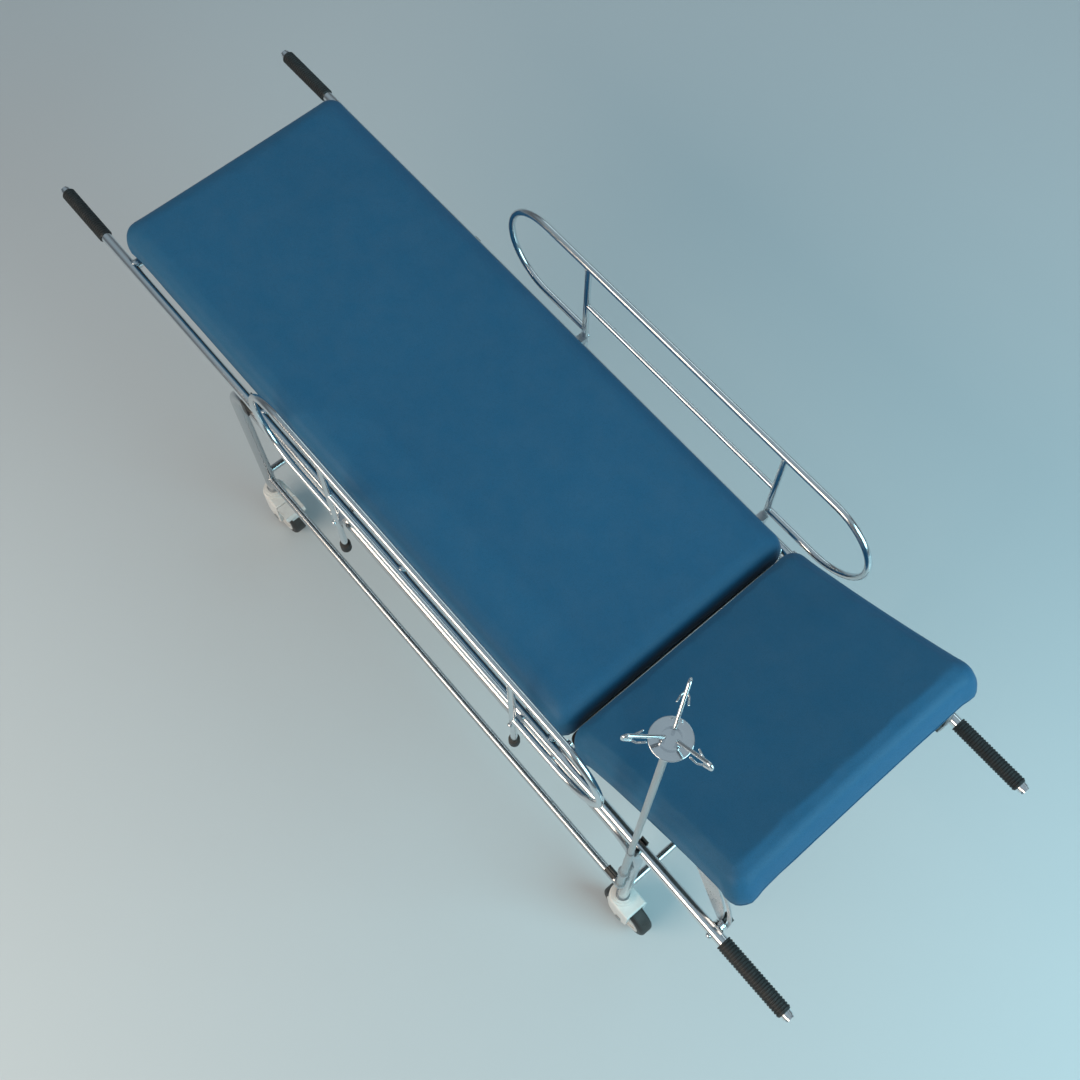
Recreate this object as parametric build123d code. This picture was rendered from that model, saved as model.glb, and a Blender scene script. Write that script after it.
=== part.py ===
from build123d import *
import os
from math import asin, cos, radians, sin, sqrt

# Stretcher trolley: a lift-off litter with a raising head section, carried on a
# tube trolley with four swivel castors and a telescopic infusion pole.
# +X runs to the head end, +Y to the far side, +Z up. All sizes are in millimetres.
# Pieces are drawn about the litter's middle line, and moved as they are exported:
# the origin is on the floor, below the middle of the overall length and width,
# which the infusion pole's hooks widen on the near side.

# ---------------------------------------------------------------- driving sizes
FIT = 0.05                  # radial clearance of a pin or shaft in its bore
REST_GAP = 0.3              # clearance where one piece only rests on another

# litter: the lift-off stretcher
LITTER_LENGTH = 2200.0      # over the end plugs
LITTER_Y = 290.0            # side tube axis, from the middle
LITTER_Z = 686.0            # side tube axis, above the floor
LITTER_TUBE_D = 22.0
LITTER_WALL = 1.5
LITTER_CROSS_X = (-840.0, -380.0, 60.0, 488.0)
GRIP_LENGTH = 147.0
GRIP_D = 29.0
GRIP_RIBS = 26
PLUG_OUT = 11.0             # end plug, from the tube's end outwards
PLUG_SLOT = 7.0
DECK_T = 7.0
DECK_HALF_WIDTH = 262.0
BODY_DECK_START = -872.0
BODY_DECK_END = 507.5

# pads
PAD_T = 70.0
PAD_HALF_WIDTH = 276.0
PAD_CORNER = 32.0           # corner radius in plan
PAD_TOP_EDGE = 27.0
PAD_LOW_EDGE = 9.0
BODY_PAD_START = -881.0
BODY_PAD_END = 511.0
HEAD_PAD_FROM_HINGE = 32.0
HEAD_PAD_LENGTH = 434.0

# head section
HINGE_X = 515.0
HEAD_ANGLE = 25.0           # as it stands, raised
HEAD_SPARE_ANGLE = 2.0      # slot left over past that
HEAD_BOARD_FROM_HINGE = 2.0
HEAD_BOARD_LENGTH = 446.0
HINGE_BOLT_D = 10.0
EAR_R = 11.0
EAR_LENGTH = 60.0
HEAD_PLATE_T = 3.0
HEAD_PLATE_Y = 266.0        # inner face of the ears and quadrants
FLANGE_WIDTH = 20.0
CLAMP_RADIUS = 401.6        # clamp bolt from the hinge axis
CLAMP_BOLT_D = 8.0
QUADRANT_MARGIN = 12.4      # from the slot's centre line to the curved edge
QUADRANT_WEB = 51.6         # from the slot's centre line to the straight back edge
SPACER_D = 23.0
KNOB_D = 20.0
KNOB_T = 14.0
KNOB_ROOM = 2.0             # between the knob and the quadrant's lip

# side rails
RAIL_X = 160.0              # middle of each rail
RAIL_Y = 314.5
RAIL_HALF = 487.0           # loop tube axis, end to end, halved
RAIL_TOP = 928.0
RAIL_LOW = 716.0
RAIL_MID = 803.0
RAIL_TUBE_D = 14.0
RAIL_POST_D = 13.5
RAIL_MID_D = 11.0
RAIL_WALL = 1.3
POST_OFFSET = 261.0
POST_BOTTOM = 553.0
FOOT_D = 22.0
FOOT_BOTTOM = 546.0
FOOT_TOP = 576.0
RAIL_BOLT_D = 8.0
RAIL_BRACKET_LENGTH = 18.0
RAIL_BRACKET_HEIGHT = 15.0
DOME_D = 11.0
DOME_T = 4.5
NUT_D = 13.0
NUT_T = 6.0

# trolley frame
TROLLEY_Y = 290.0
TROLLEY_Z = 639.0
TROLLEY_TUBE_D = 25.0
TROLLEY_WALL = 1.5
LEG_FOOT_X = -509.0
LEG_HEAD_X = 734.0
LEG_BOTTOM = 156.0
BEND_R = 75.0
LOWER_TUBE_Z = 209.0
LOWER_TUBE_D = 18.0
CROSS_TUBE_Z = 230.0
CROSS_TUBE_D = 16.0
UPPER_CROSS_X = (-300.0, 420.0)
UPPER_CROSS_D = 20.0
THIN_WALL = 1.2
FORK_LENGTH = 16.0
FORK_WALL = 3.2
FORK_FOOT_X = -430.0
FORK_HEAD_X = 730.0
FORK_BASE = 8.0             # below the litter tube
FORK_HEAD_ARM = 14.0        # above the litter tube's axis
FORK_FOOT_ARM = -3.0        # the foot end's forks are low saddles
FORK_POST_D = 12.0

# infusion pole
IV_X = 734.0
IV_Y = -318.4
IV_TUBE_D = 14.5
IV_POLE_D = 11.0
IV_TUBE_BOTTOM = 400.0
IV_TUBE_TOP = 750.0
IV_PLUG = 8.0
IV_POLE_TOP = 1491.0
IV_RING_D = 22.0
IV_RING_T = 14.0
IV_RING_Z = (427.0, 549.0)
IV_SCREW_D = 6.0
IV_KNOB_D = 16.0
IV_KNOB_LENGTH = 24.0
DISC_D = 55.0
DISC_T = 3.0
CUP_D = 31.0
CUP_T = 6.0
HOOKS = 3
HOOK_D = 5.0
HOOK_REACH = 62.0
HOOK_RISE = 60.0
HOOK_STEM = 14.0            # upright part of a hook, above the disc
HOOK_TURN_DROP = 13.0       # the crown's depth
HOOK_RETURN = (9.0, 10.0)   # the return's run inwards and downwards
HOOK_WIRE_D = 2.6

# castors
WHEEL_D = 125.0
TYRE_W = 34.0
TYRE_EDGE = 9.0
HUB_D = 96.0
HUB_W = 36.0
TRAIL = 24.0
AXLE_D = 10.0
HOOD_W = 56.0
HOOD_TOP = 140.0
HOOD_FRONT = 45.0
HOOD_GAP = 3.0              # around the tyre
HOOD_CAVITY_W = 39.0
BOSS_STEPS = ((50.0, 145.0), (40.0, 149.8))
STEM_D = 12.0
STEM_FLANGE_D = 30.0
STEM_FLANGE_T = 6.0
STEM_PLUG = 34.0
STEM_BOTTOM = 127.0
PEDAL_PIN = (56.0, 127.0)   # from the swivel axis, and above the floor
PEDAL_PIN_D = 5.0
PEDAL_HUB_D = 9.0
PEDAL_W = 54.0
PEDAL_REACH = 88.0
PEDAL_T = 4.0
PEDAL_DROP = 6.0            # the toe's bevel
PEDAL_GAP = 1.5             # to the hood's front, and to the ears
SHOE_GAP = 2.5

# ------------------------------------------------------------------ worked out
LITTER_R = LITTER_TUBE_D / 2
LITTER_INNER_Y = LITTER_Y - LITTER_R
LITTER_OUTER_Y = LITTER_Y + LITTER_R
LITTER_TUBE_END = LITTER_LENGTH / 2 - PLUG_OUT
GRIP_END = LITTER_TUBE_END - 2.0
GRIP_START = GRIP_END - GRIP_LENGTH
DECK_Z = LITTER_Z + LITTER_R
PAD_Z = DECK_Z + DECK_T + REST_GAP
HINGE_Z = LITTER_Z
POST_XS = (RAIL_X - POST_OFFSET, RAIL_X + POST_OFFSET)
CLAMP_X = HINGE_X + CLAMP_RADIUS
QUADRANT_BACK = CLAMP_RADIUS - QUADRANT_WEB
PLATE_OUTER_Y = HEAD_PLATE_Y + HEAD_PLATE_T
WHEEL_R = WHEEL_D / 2
LEG_XS = (LEG_FOOT_X, LEG_HEAD_X)
IV_POLE_BOTTOM = IV_TUBE_BOTTOM + IV_PLUG + REST_GAP
OVERALL_FAR_Y = RAIL_Y + RAIL_POST_D / 2 + DOME_T
OVERALL_NEAR_Y = IV_Y - HOOK_REACH * sin(radians(60))
ORIGIN_Y = (OVERALL_FAR_Y + OVERALL_NEAR_Y) / 2

parts = {}


# ------------------------------------------------------------------ plain shapes
def rod_x(d, x0, x1, y, z):
    return Pos((x0 + x1) / 2, y, z) * Rot(0, 90, 0) * Cylinder(d / 2, abs(x1 - x0))


def rod_y(d, y0, y1, x, z):
    return Pos(x, (y0 + y1) / 2, z) * Rot(90, 0, 0) * Cylinder(d / 2, abs(y1 - y0))


def rod_z(d, z0, z1, x, y):
    return Pos(x, y, (z0 + z1) / 2) * Cylinder(d / 2, abs(z1 - z0))


def block(x0, x1, y0, y1, z0, z1):
    size = Box(abs(x1 - x0), abs(y1 - y0), abs(z1 - z0))
    return Pos((x0 + x1) / 2, (y0 + y1) / 2, (z0 + z1) / 2) * size


def plate_xz(face, y0, y1):
    """A flat face drawn in X and Z, given its thickness from y0 to y1."""
    return Pos(0, max(y0, y1), 0) * Rot(90, 0, 0) * extrude(face, abs(y1 - y0))


def swept_rod(path, d):
    """A round bar along a path of lines and arcs."""
    start = path @ 0
    section = Plane(origin=start, z_dir=path % 0) * Circle(d / 2)
    return sweep(section, path=path)


def dome(d, t, y_face, side, x, z):
    """A domed bolt head that stands outwards (side -1 or +1) from y_face."""
    head = rod_y(d, y_face, y_face + side * t, x, z)
    rim = head.faces().sort_by(Axis.Y)[0 if side < 0 else -1].edges()
    return fillet(rim, t * 0.8)


def group(solids):
    """Several separate solids of one node."""
    return Compound(children=[s for piece in solids for s in piece.solids()])


def both_sides(make):
    """The near (-1) and far (+1) copies of a piece."""
    return group([make(-1), make(1)])


# ---------------------------------------------------------------- trolley frame
def side_frame_bar(side, d):
    y = side * TROLLEY_Y
    corners = [
        (LEG_FOOT_X, y, LEG_BOTTOM),
        (LEG_FOOT_X, y, TROLLEY_Z),
        (LEG_HEAD_X, y, TROLLEY_Z),
        (LEG_HEAD_X, y, LEG_BOTTOM),
    ]
    return swept_rod(FilletPolyline(*corners, radius=BEND_R), d)


def leg_envelopes():
    legs = [rod_z(TROLLEY_TUBE_D, LEG_BOTTOM, TROLLEY_Z - BEND_R, x, s * TROLLEY_Y)
            for x in LEG_XS for s in (-1, 1)]
    return legs


def side_frame(side):
    bore = side_frame_bar(side, TROLLEY_TUBE_D - 2 * TROLLEY_WALL)
    return side_frame_bar(side, TROLLEY_TUBE_D) - bore


def lower_side_tube(side):
    y = side * TROLLEY_Y
    bar = rod_x(LOWER_TUBE_D, LEG_FOOT_X, LEG_HEAD_X, y, LOWER_TUBE_Z)
    bore = rod_x(LOWER_TUBE_D - 2 * THIN_WALL, LEG_FOOT_X, LEG_HEAD_X, y, LOWER_TUBE_Z)
    return bar - bore - leg_envelopes()


def lower_cross_tube(x):
    bar = rod_y(CROSS_TUBE_D, -TROLLEY_Y, TROLLEY_Y, x, CROSS_TUBE_Z)
    bore = rod_y(CROSS_TUBE_D - 2 * THIN_WALL, -TROLLEY_Y, TROLLEY_Y, x, CROSS_TUBE_Z)
    return bar - bore - leg_envelopes()


def upper_cross_tube(x):
    bar = rod_y(UPPER_CROSS_D, -TROLLEY_Y, TROLLEY_Y, x, TROLLEY_Z)
    bore = rod_y(UPPER_CROSS_D - 2 * THIN_WALL, -TROLLEY_Y, TROLLEY_Y, x, TROLLEY_Z)
    for s in (-1, 1):
        bar -= rod_x(TROLLEY_TUBE_D, LEG_FOOT_X, LEG_HEAD_X, s * TROLLEY_Y, TROLLEY_Z)
    return bar - bore


def fork(x, side, base, arm):
    """An open-topped fork that the litter's side tube rests in."""
    y = side * LITTER_Y
    slot = LITTER_TUBE_D + 2 * REST_GAP
    half = slot / 2 + FORK_WALL
    top = LITTER_Z + arm
    body = block(x - FORK_LENGTH / 2, x + FORK_LENGTH / 2, y - half, y + half, base, top)
    body -= rod_x(slot, x - FORK_LENGTH, x + FORK_LENGTH, y, LITTER_Z)
    if arm > 0:
        body -= block(x - FORK_LENGTH, x + FORK_LENGTH, y - slot / 2, y + slot / 2, LITTER_Z, top + 1)
    return body


def head_fork(side):
    return fork(FORK_HEAD_X, side, LITTER_Z - LITTER_R - FORK_BASE, FORK_HEAD_ARM)


def foot_fork(side):
    body = fork(FORK_FOOT_X, side, TROLLEY_Z, FORK_FOOT_ARM)
    return body - rod_x(TROLLEY_TUBE_D, LEG_FOOT_X, LEG_HEAD_X, side * TROLLEY_Y, TROLLEY_Z)


def fork_post(side):
    """The round post between a head-end bend and its fork."""
    top = LITTER_Z - LITTER_R - FORK_BASE
    post = rod_z(FORK_POST_D, TROLLEY_Z - BEND_R, top, FORK_HEAD_X, side * LITTER_Y)
    post -= side_frame_bar(side, TROLLEY_TUBE_D)
    return post.solids().sort_by(Axis.Z)[-1]


def caster_stem(x, side):
    y = side * TROLLEY_Y
    plug_d = TROLLEY_TUBE_D - 2 * TROLLEY_WALL - 2 * FIT
    stem = rod_z(STEM_D, STEM_BOTTOM, LEG_BOTTOM, x, y)
    stem += rod_z(STEM_FLANGE_D, LEG_BOTTOM - STEM_FLANGE_T, LEG_BOTTOM, x, y)
    stem += rod_z(plug_d, LEG_BOTTOM, LEG_BOTTOM + STEM_PLUG, x, y)
    return stem


parts["near_side_frame"] = side_frame(-1)
parts["far_side_frame"] = side_frame(1)
parts["near_lower_tube"] = lower_side_tube(-1)
parts["far_lower_tube"] = lower_side_tube(1)
parts["foot_cross_tube"] = lower_cross_tube(LEG_FOOT_X)
parts["head_cross_tube"] = lower_cross_tube(LEG_HEAD_X)
parts["upper_cross_tubes"] = group([upper_cross_tube(x) for x in UPPER_CROSS_X])
parts["cradle_forks"] = group([make(s) for make in (foot_fork, head_fork) for s in (-1, 1)])
parts["cradle_posts"] = both_sides(fork_post)
parts["caster_stems"] = group([caster_stem(x, s) for x in LEG_XS for s in (-1, 1)])


# ---------------------------------------------------------------- infusion pole
def iv_outer_tube():
    tube = rod_z(IV_TUBE_D, IV_TUBE_BOTTOM, IV_TUBE_TOP, IV_X, IV_Y)
    tube -= rod_z(IV_POLE_D + 2 * FIT, IV_TUBE_BOTTOM + IV_PLUG, IV_TUBE_TOP, IV_X, IV_Y)
    return tube - iv_screw_hole()


def iv_screw_hole():
    return rod_x(IV_SCREW_D + 2 * FIT, IV_X - IV_RING_D, IV_X, IV_Y, IV_RING_Z[0])


def iv_ring(z):
    """A ring round the outer tube with a web to the leg beside it."""
    z0 = z - IV_RING_T / 2
    z1 = z + IV_RING_T / 2
    ring = rod_z(IV_RING_D, z0, z1, IV_X, IV_Y)
    ring += block(IV_X - IV_TUBE_D / 2, IV_X + IV_TUBE_D / 2, IV_Y, -TROLLEY_Y, z0, z1)
    ring -= rod_z(TROLLEY_TUBE_D, z0, z1, LEG_HEAD_X, -TROLLEY_Y)
    ring -= rod_z(IV_TUBE_D, z0, z1, IV_X, IV_Y)
    return ring.solids().sort_by(SortBy.VOLUME)[-1]


def iv_clamp_knob():
    """A thumb screw that reaches through the lower ring to the pole."""
    z = IV_RING_Z[0]
    tip = IV_X - IV_POLE_D / 2 - REST_GAP
    knob_face = IV_X - IV_RING_D / 2 - 2.0
    knob = rod_x(IV_SCREW_D, knob_face, tip, IV_Y, z)
    grip = rod_x(IV_KNOB_D, knob_face - IV_KNOB_LENGTH, knob_face, IV_Y, z)
    for k in range(6):
        flute = Pos(knob_face - IV_KNOB_LENGTH / 2, IV_Y, z) * Rot(60 * k, 0, 0)
        flute *= Pos(0, 0, IV_KNOB_D / 2 + 1.0)
        grip -= flute * Rot(0, 90, 0) * Cylinder(2.4, IV_KNOB_LENGTH + 2)
    return knob + grip


def iv_hook_disc():
    """A flat disc on the pole's end, with a raised cup that the hooks leave from."""
    z0 = IV_POLE_TOP
    disc = rod_z(DISC_D, z0, z0 + DISC_T, IV_X, IV_Y)
    disc = fillet(disc.edges(), 1.0)
    cup = rod_z(CUP_D, z0 + DISC_T, z0 + DISC_T + CUP_T, IV_X, IV_Y)
    cup -= rod_z(CUP_D - 5.0, z0 + DISC_T, z0 + DISC_T + CUP_T, IV_X, IV_Y)
    return disc + cup


def iv_hook():
    """One hook, pointing along +X from the pole's axis, with two wire barbs."""
    root_r = CUP_D / 2 - 6.0
    crown_r = HOOK_REACH - HOOK_D / 2
    crown_z = HOOK_RISE - HOOK_D
    run_in, run_down = HOOK_RETURN
    rod_path = FilletPolyline(
        (root_r, 0, 0),
        (root_r, 0, HOOK_STEM),
        (crown_r, 0, crown_z),
        (crown_r + 1.0, 0, crown_z - HOOK_TURN_DROP),
        (crown_r + 1.0 - run_in, 0, crown_z - HOOK_TURN_DROP - run_down),
        radius=4.0,
    )
    hook = swept_rod(rod_path, HOOK_D)
    end = rod_path @ 1
    hook += Pos(end) * Sphere(HOOK_D / 2)
    for s in (-1, 1):
        barb_path = FilletPolyline(
            end,
            end + Vector(-7.0, s * 5.0, -1.0),
            end + Vector(-17.0, s * 7.0, 2.0),
            radius=5.0,
        )
        hook += swept_rod(barb_path, HOOK_WIRE_D)
        hook += Pos(barb_path @ 1) * Sphere(HOOK_WIRE_D / 2)
    return hook


def iv_hooks():
    at_disc = Pos(IV_X, IV_Y, IV_POLE_TOP + DISC_T)
    return group([at_disc * Rot(0, 0, 360 * k / HOOKS) * iv_hook() for k in range(HOOKS)])


parts["iv_outer_tube"] = iv_outer_tube()
parts["iv_clamp_rings"] = group([iv_ring(IV_RING_Z[0]) - iv_screw_hole(), iv_ring(IV_RING_Z[1])])
parts["iv_clamp_knob"] = iv_clamp_knob()
parts["iv_pole"] = rod_z(IV_POLE_D, IV_POLE_BOTTOM, IV_POLE_TOP, IV_X, IV_Y)
parts["iv_hook_disc"] = iv_hook_disc()
parts["iv_hooks"] = iv_hooks()


# ----------------------------------------------------------------------- litter
def bolt_holes(side):
    """Holes across the side tube: rail bolts, head hinge and head clamp."""
    y0 = side * (LITTER_INNER_Y - 5)
    y1 = side * (LITTER_OUTER_Y + 5)
    holes = [rod_y(RAIL_BOLT_D + 2 * FIT, y0, y1, x, LITTER_Z) for x in POST_XS]
    holes.append(rod_y(HINGE_BOLT_D + 2 * FIT, y0, y1, HINGE_X, LITTER_Z))
    holes.append(rod_y(CLAMP_BOLT_D + 2 * FIT, y0, y1, CLAMP_X, LITTER_Z))
    return holes


def litter_side_tube(side):
    y = side * LITTER_Y
    end = LITTER_TUBE_END
    bar = rod_x(LITTER_TUBE_D, -end, end, y, LITTER_Z)
    bore = rod_x(LITTER_TUBE_D - 2 * LITTER_WALL, -end, end, y, LITTER_Z)
    return bar - bore - bolt_holes(side)


def litter_cross_tube(x):
    bar = rod_y(LITTER_TUBE_D, -LITTER_Y, LITTER_Y, x, LITTER_Z)
    bore = rod_y(LITTER_TUBE_D - 2 * LITTER_WALL, -LITTER_Y, LITTER_Y, x, LITTER_Z)
    for s in (-1, 1):
        bar -= rod_x(LITTER_TUBE_D, x - LITTER_TUBE_D, x + LITTER_TUBE_D, s * LITTER_Y, LITTER_Z)
    bar -= bore
    return bar.solids().sort_by(SortBy.VOLUME)[-1]


def board(x0, x1, z0):
    """A flat deck board with rounded corners."""
    sheet = block(x0, x1, -DECK_HALF_WIDTH, DECK_HALF_WIDTH, z0, z0 + DECK_T)
    return fillet(sheet.edges().filter_by(Axis.Z), 18.0)


def pad(x0, x1, z0):
    """A plain cushion: rounded in plan and along its top and bottom edges."""
    cushion = block(x0, x1, -PAD_HALF_WIDTH, PAD_HALF_WIDTH, z0, z0 + PAD_T)
    cushion = fillet(cushion.edges().filter_by(Axis.Z), PAD_CORNER)
    cushion = fillet(cushion.faces().sort_by(Axis.Z)[-1].edges(), PAD_TOP_EDGE)
    return fillet(cushion.faces().sort_by(Axis.Z)[0].edges(), PAD_LOW_EDGE)


def grip():
    """A ribbed rubber sleeve along +X from the origin."""
    r_out = GRIP_D / 2
    r_low = r_out - 1.4
    pitch = GRIP_LENGTH / GRIP_RIBS
    outline = [(0, LITTER_R), (0, r_out - 1.0), (1.2, r_out)]
    for k in range(GRIP_RIBS):
        x = k * pitch
        outline += [(x + 0.45 * pitch, r_out), (x + 0.60 * pitch, r_low), (x + 0.85 * pitch, r_low)]
        if k < GRIP_RIBS - 1:
            outline.append((x + pitch, r_out))
    outline += [(GRIP_LENGTH, r_low - 1.0), (GRIP_LENGTH, LITTER_R)]
    return revolve(make_face(Polyline(*outline, close=True)), Axis.X)


def placed_grip(end, side):
    turn = Rot(0, 0, 0 if end > 0 else 180)
    return Pos(end * GRIP_START, side * LITTER_Y, LITTER_Z) * turn * grip()


def end_plug(end, side):
    """A slotted plug in the end of a side tube."""
    y = side * LITTER_Y
    tube_end = end * LITTER_TUBE_END
    outer_end = end * LITTER_LENGTH / 2
    bore_d = LITTER_TUBE_D - 2 * LITTER_WALL
    plug = rod_x(bore_d - 2 * FIT, tube_end - end * 25.0, tube_end, y, LITTER_Z)
    plug += rod_x(LITTER_TUBE_D - 1.0, tube_end, outer_end - end * 5.0, y, LITTER_Z)
    plug += rod_x(LITTER_TUBE_D - 5.0, outer_end - end * 5.0, outer_end, y, LITTER_Z)
    half = PLUG_SLOT / 2
    return plug - block(outer_end - end * 4.0, outer_end + end, y - LITTER_R, y + LITTER_R,
                        LITTER_Z - half, LITTER_Z + half)


def rail_loop(side, d):
    """The bar of one rail: along the top, round both ends and back to the posts."""
    y = side * RAIL_Y
    mid_z = (RAIL_TOP + RAIL_LOW) / 2
    end_r = (RAIL_TOP - RAIL_LOW) / 2
    left = RAIL_X - RAIL_HALF
    right = RAIL_X + RAIL_HALF
    pieces = [
        Line((POST_XS[0], y, RAIL_LOW), (left + end_r, y, RAIL_LOW)),
        ThreePointArc((left + end_r, y, RAIL_LOW), (left, y, mid_z), (left + end_r, y, RAIL_TOP)),
        Line((left + end_r, y, RAIL_TOP), (right - end_r, y, RAIL_TOP)),
        ThreePointArc((right - end_r, y, RAIL_TOP), (right, y, mid_z), (right - end_r, y, RAIL_LOW)),
        Line((right - end_r, y, RAIL_LOW), (POST_XS[1], y, RAIL_LOW)),
    ]
    return swept_rod(Wire(pieces), d)


def rail_bars(side, wall, open_end):
    """The welded rail, each tube thinner by wall; open_end lengthens the posts."""
    y = side * RAIL_Y
    bars = rail_loop(side, RAIL_TUBE_D - 2 * wall)
    for x in POST_XS:
        bars += rod_z(RAIL_POST_D - 2 * wall, POST_BOTTOM - open_end, RAIL_TOP, x, y)
    bars += rod_x(RAIL_MID_D - 2 * wall, POST_XS[0], POST_XS[1], y, RAIL_MID)
    return bars


def rail(side):
    welded = rail_bars(side, 0, 0) - rail_bars(side, RAIL_WALL, 1.0)
    for x in POST_XS:
        y = side * RAIL_Y
        welded -= rod_y(RAIL_BOLT_D + 2 * FIT, y - RAIL_POST_D, y + RAIL_POST_D, x, LITTER_Z)
    return welded


def litter_foot(x, side):
    """A rubber foot on the lower end of a rail post."""
    y = side * RAIL_Y
    foot = rod_z(FOOT_D, FOOT_BOTTOM, FOOT_TOP, x, y)
    foot = fillet(foot.edges().sort_by(Axis.Z)[0], FOOT_D * 0.4)
    foot = chamfer(foot.edges().sort_by(Axis.Z)[-1], 1.5)
    return foot - rod_z(RAIL_POST_D + 2 * FIT, POST_BOTTOM - FIT, FOOT_TOP, x, y)


def rail_bracket(x, side):
    """The saddle block between a rail post and the litter's side tube."""
    half_l = RAIL_BRACKET_LENGTH / 2
    half_h = RAIL_BRACKET_HEIGHT / 2
    y_in = side * LITTER_Y
    y_out = side * RAIL_Y
    saddle = block(x - half_l, x + half_l, y_in, y_out, LITTER_Z - half_h, LITTER_Z + half_h)
    saddle -= rod_x(LITTER_TUBE_D, x - half_l, x + half_l, y_in, LITTER_Z)
    saddle -= rod_z(RAIL_POST_D, LITTER_Z - half_h, LITTER_Z + half_h, x, y_out)
    saddle -= rod_y(RAIL_BOLT_D + 2 * FIT, y_in, y_out, x, LITTER_Z)
    return saddle.solids().sort_by(SortBy.VOLUME)[-1]


def through_bolt(d, x, side, y_head, y_end):
    """A bolt across the side tube with a domed head outside."""
    bolt = rod_y(d, side * y_head, side * y_end, x, LITTER_Z)
    return bolt + dome(DOME_D, DOME_T, side * y_head, side, x, LITTER_Z)


def ring_y(outer_d, bore_d, y0, y1, x):
    """A washer, spacer or nut round an axis across the litter."""
    return rod_y(outer_d, y0, y1, x, LITTER_Z) - rod_y(bore_d, y0, y1, x, LITTER_Z)


def rail_bolt_set(x, side):
    y_head = RAIL_Y + RAIL_POST_D / 2
    y_end = LITTER_INNER_Y - NUT_T - 1.0
    nut = ring_y(NUT_D, RAIL_BOLT_D + 2 * FIT, side * LITTER_INNER_Y,
                 side * (LITTER_INNER_Y - NUT_T), x)
    return [through_bolt(RAIL_BOLT_D, x, side, y_head, y_end), nut]


def hinge_bolt_set(side):
    """Hinge bolt, the spacer outside its ear, and the nut inside."""
    y_nut = HEAD_PLATE_Y - 2 * FIT
    bore = HINGE_BOLT_D + 2 * FIT
    spacer = ring_y(NUT_D + 3.0, bore, side * LITTER_INNER_Y, side * (PLATE_OUTER_Y + FIT), HINGE_X)
    nut = ring_y(NUT_D + 2.0, bore, side * y_nut, side * (y_nut - NUT_T), HINGE_X)
    bolt = through_bolt(HINGE_BOLT_D, HINGE_X, side, LITTER_OUTER_Y, y_nut - NUT_T - 1.0)
    return [bolt, spacer, nut]


def clamp_bolt_set(side):
    """Clamp bolt and the ribbed spacer between the side tube and the quadrant."""
    bolt = through_bolt(CLAMP_BOLT_D, CLAMP_X, side, LITTER_OUTER_Y,
                        HEAD_PLATE_Y - KNOB_T - 2.0)
    y0 = LITTER_INNER_Y
    y1 = PLATE_OUTER_Y + FIT
    spacer = rod_y(SPACER_D - 5.0, side * y0, side * y1, CLAMP_X, LITTER_Z)
    for share in (0.0, 0.4, 0.8):
        rib_y = y0 + (y1 - y0) * share
        spacer += rod_y(SPACER_D, side * rib_y, side * (rib_y + (y1 - y0) * 0.2), CLAMP_X, LITTER_Z)
    return [bolt, spacer - rod_y(CLAMP_BOLT_D + 2 * FIT, side * y0, side * y1, CLAMP_X, LITTER_Z)]


parts["near_litter_tube"] = litter_side_tube(-1)
parts["far_litter_tube"] = litter_side_tube(1)
parts["litter_cross_tubes"] = group([litter_cross_tube(x) for x in LITTER_CROSS_X])
parts["body_deck"] = board(BODY_DECK_START, BODY_DECK_END, DECK_Z)
parts["body_pad"] = pad(BODY_PAD_START, BODY_PAD_END, PAD_Z)
for end, end_name in ((-1, "foot"), (1, "head")):
    for side, side_name in ((-1, "near"), (1, "far")):
        parts[f"grip_{end_name}_{side_name}"] = placed_grip(end, side)
parts["end_plugs"] = group([end_plug(e, s) for e in (-1, 1) for s in (-1, 1)])
parts["near_rail"] = rail(-1)
parts["far_rail"] = rail(1)
parts["litter_feet"] = group([litter_foot(x, s) for x in POST_XS for s in (-1, 1)])
parts["rail_brackets"] = group([rail_bracket(x, s) for x in POST_XS for s in (-1, 1)])
parts["rail_bolts"] = group([p for x in POST_XS for s in (-1, 1) for p in rail_bolt_set(x, s)])
parts["hinge_bolts"] = group(hinge_bolt_set(-1) + hinge_bolt_set(1))
parts["clamp_bolts"] = group(clamp_bolt_set(-1) + clamp_bolt_set(1))


# ----------------------------------------------------------------- head section
# Drawn flat about the hinge axis as (0, 0) in X and Z, then placed and raised.
BOARD_Z = DECK_Z - HINGE_Z
FLANGE_Z = BOARD_Z - HEAD_PLATE_T


def raised(flat_piece):
    return Pos(HINGE_X, 0, HINGE_Z) * Rot(0, -HEAD_ANGLE, 0) * flat_piece


def flange(x0, x1, side):
    """The lip of an ear or quadrant, turned inwards under the head board."""
    y0 = side * (PLATE_OUTER_Y - FLANGE_WIDTH)
    return block(x0, x1, y0, side * PLATE_OUTER_Y, FLANGE_Z, BOARD_Z)


def hinge_ear(side):
    y0 = side * HEAD_PLATE_Y
    y1 = side * PLATE_OUTER_Y
    ear = rod_y(2 * EAR_R, y0, y1, 0, 0)
    ear += block(0, EAR_LENGTH, y0, y1, -EAR_R / 3, BOARD_Z)
    ear += flange(2 * EAR_R, EAR_LENGTH, side)
    return ear - rod_y(HINGE_BOLT_D + 2 * FIT, y0, y1, 0, 0)


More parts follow.
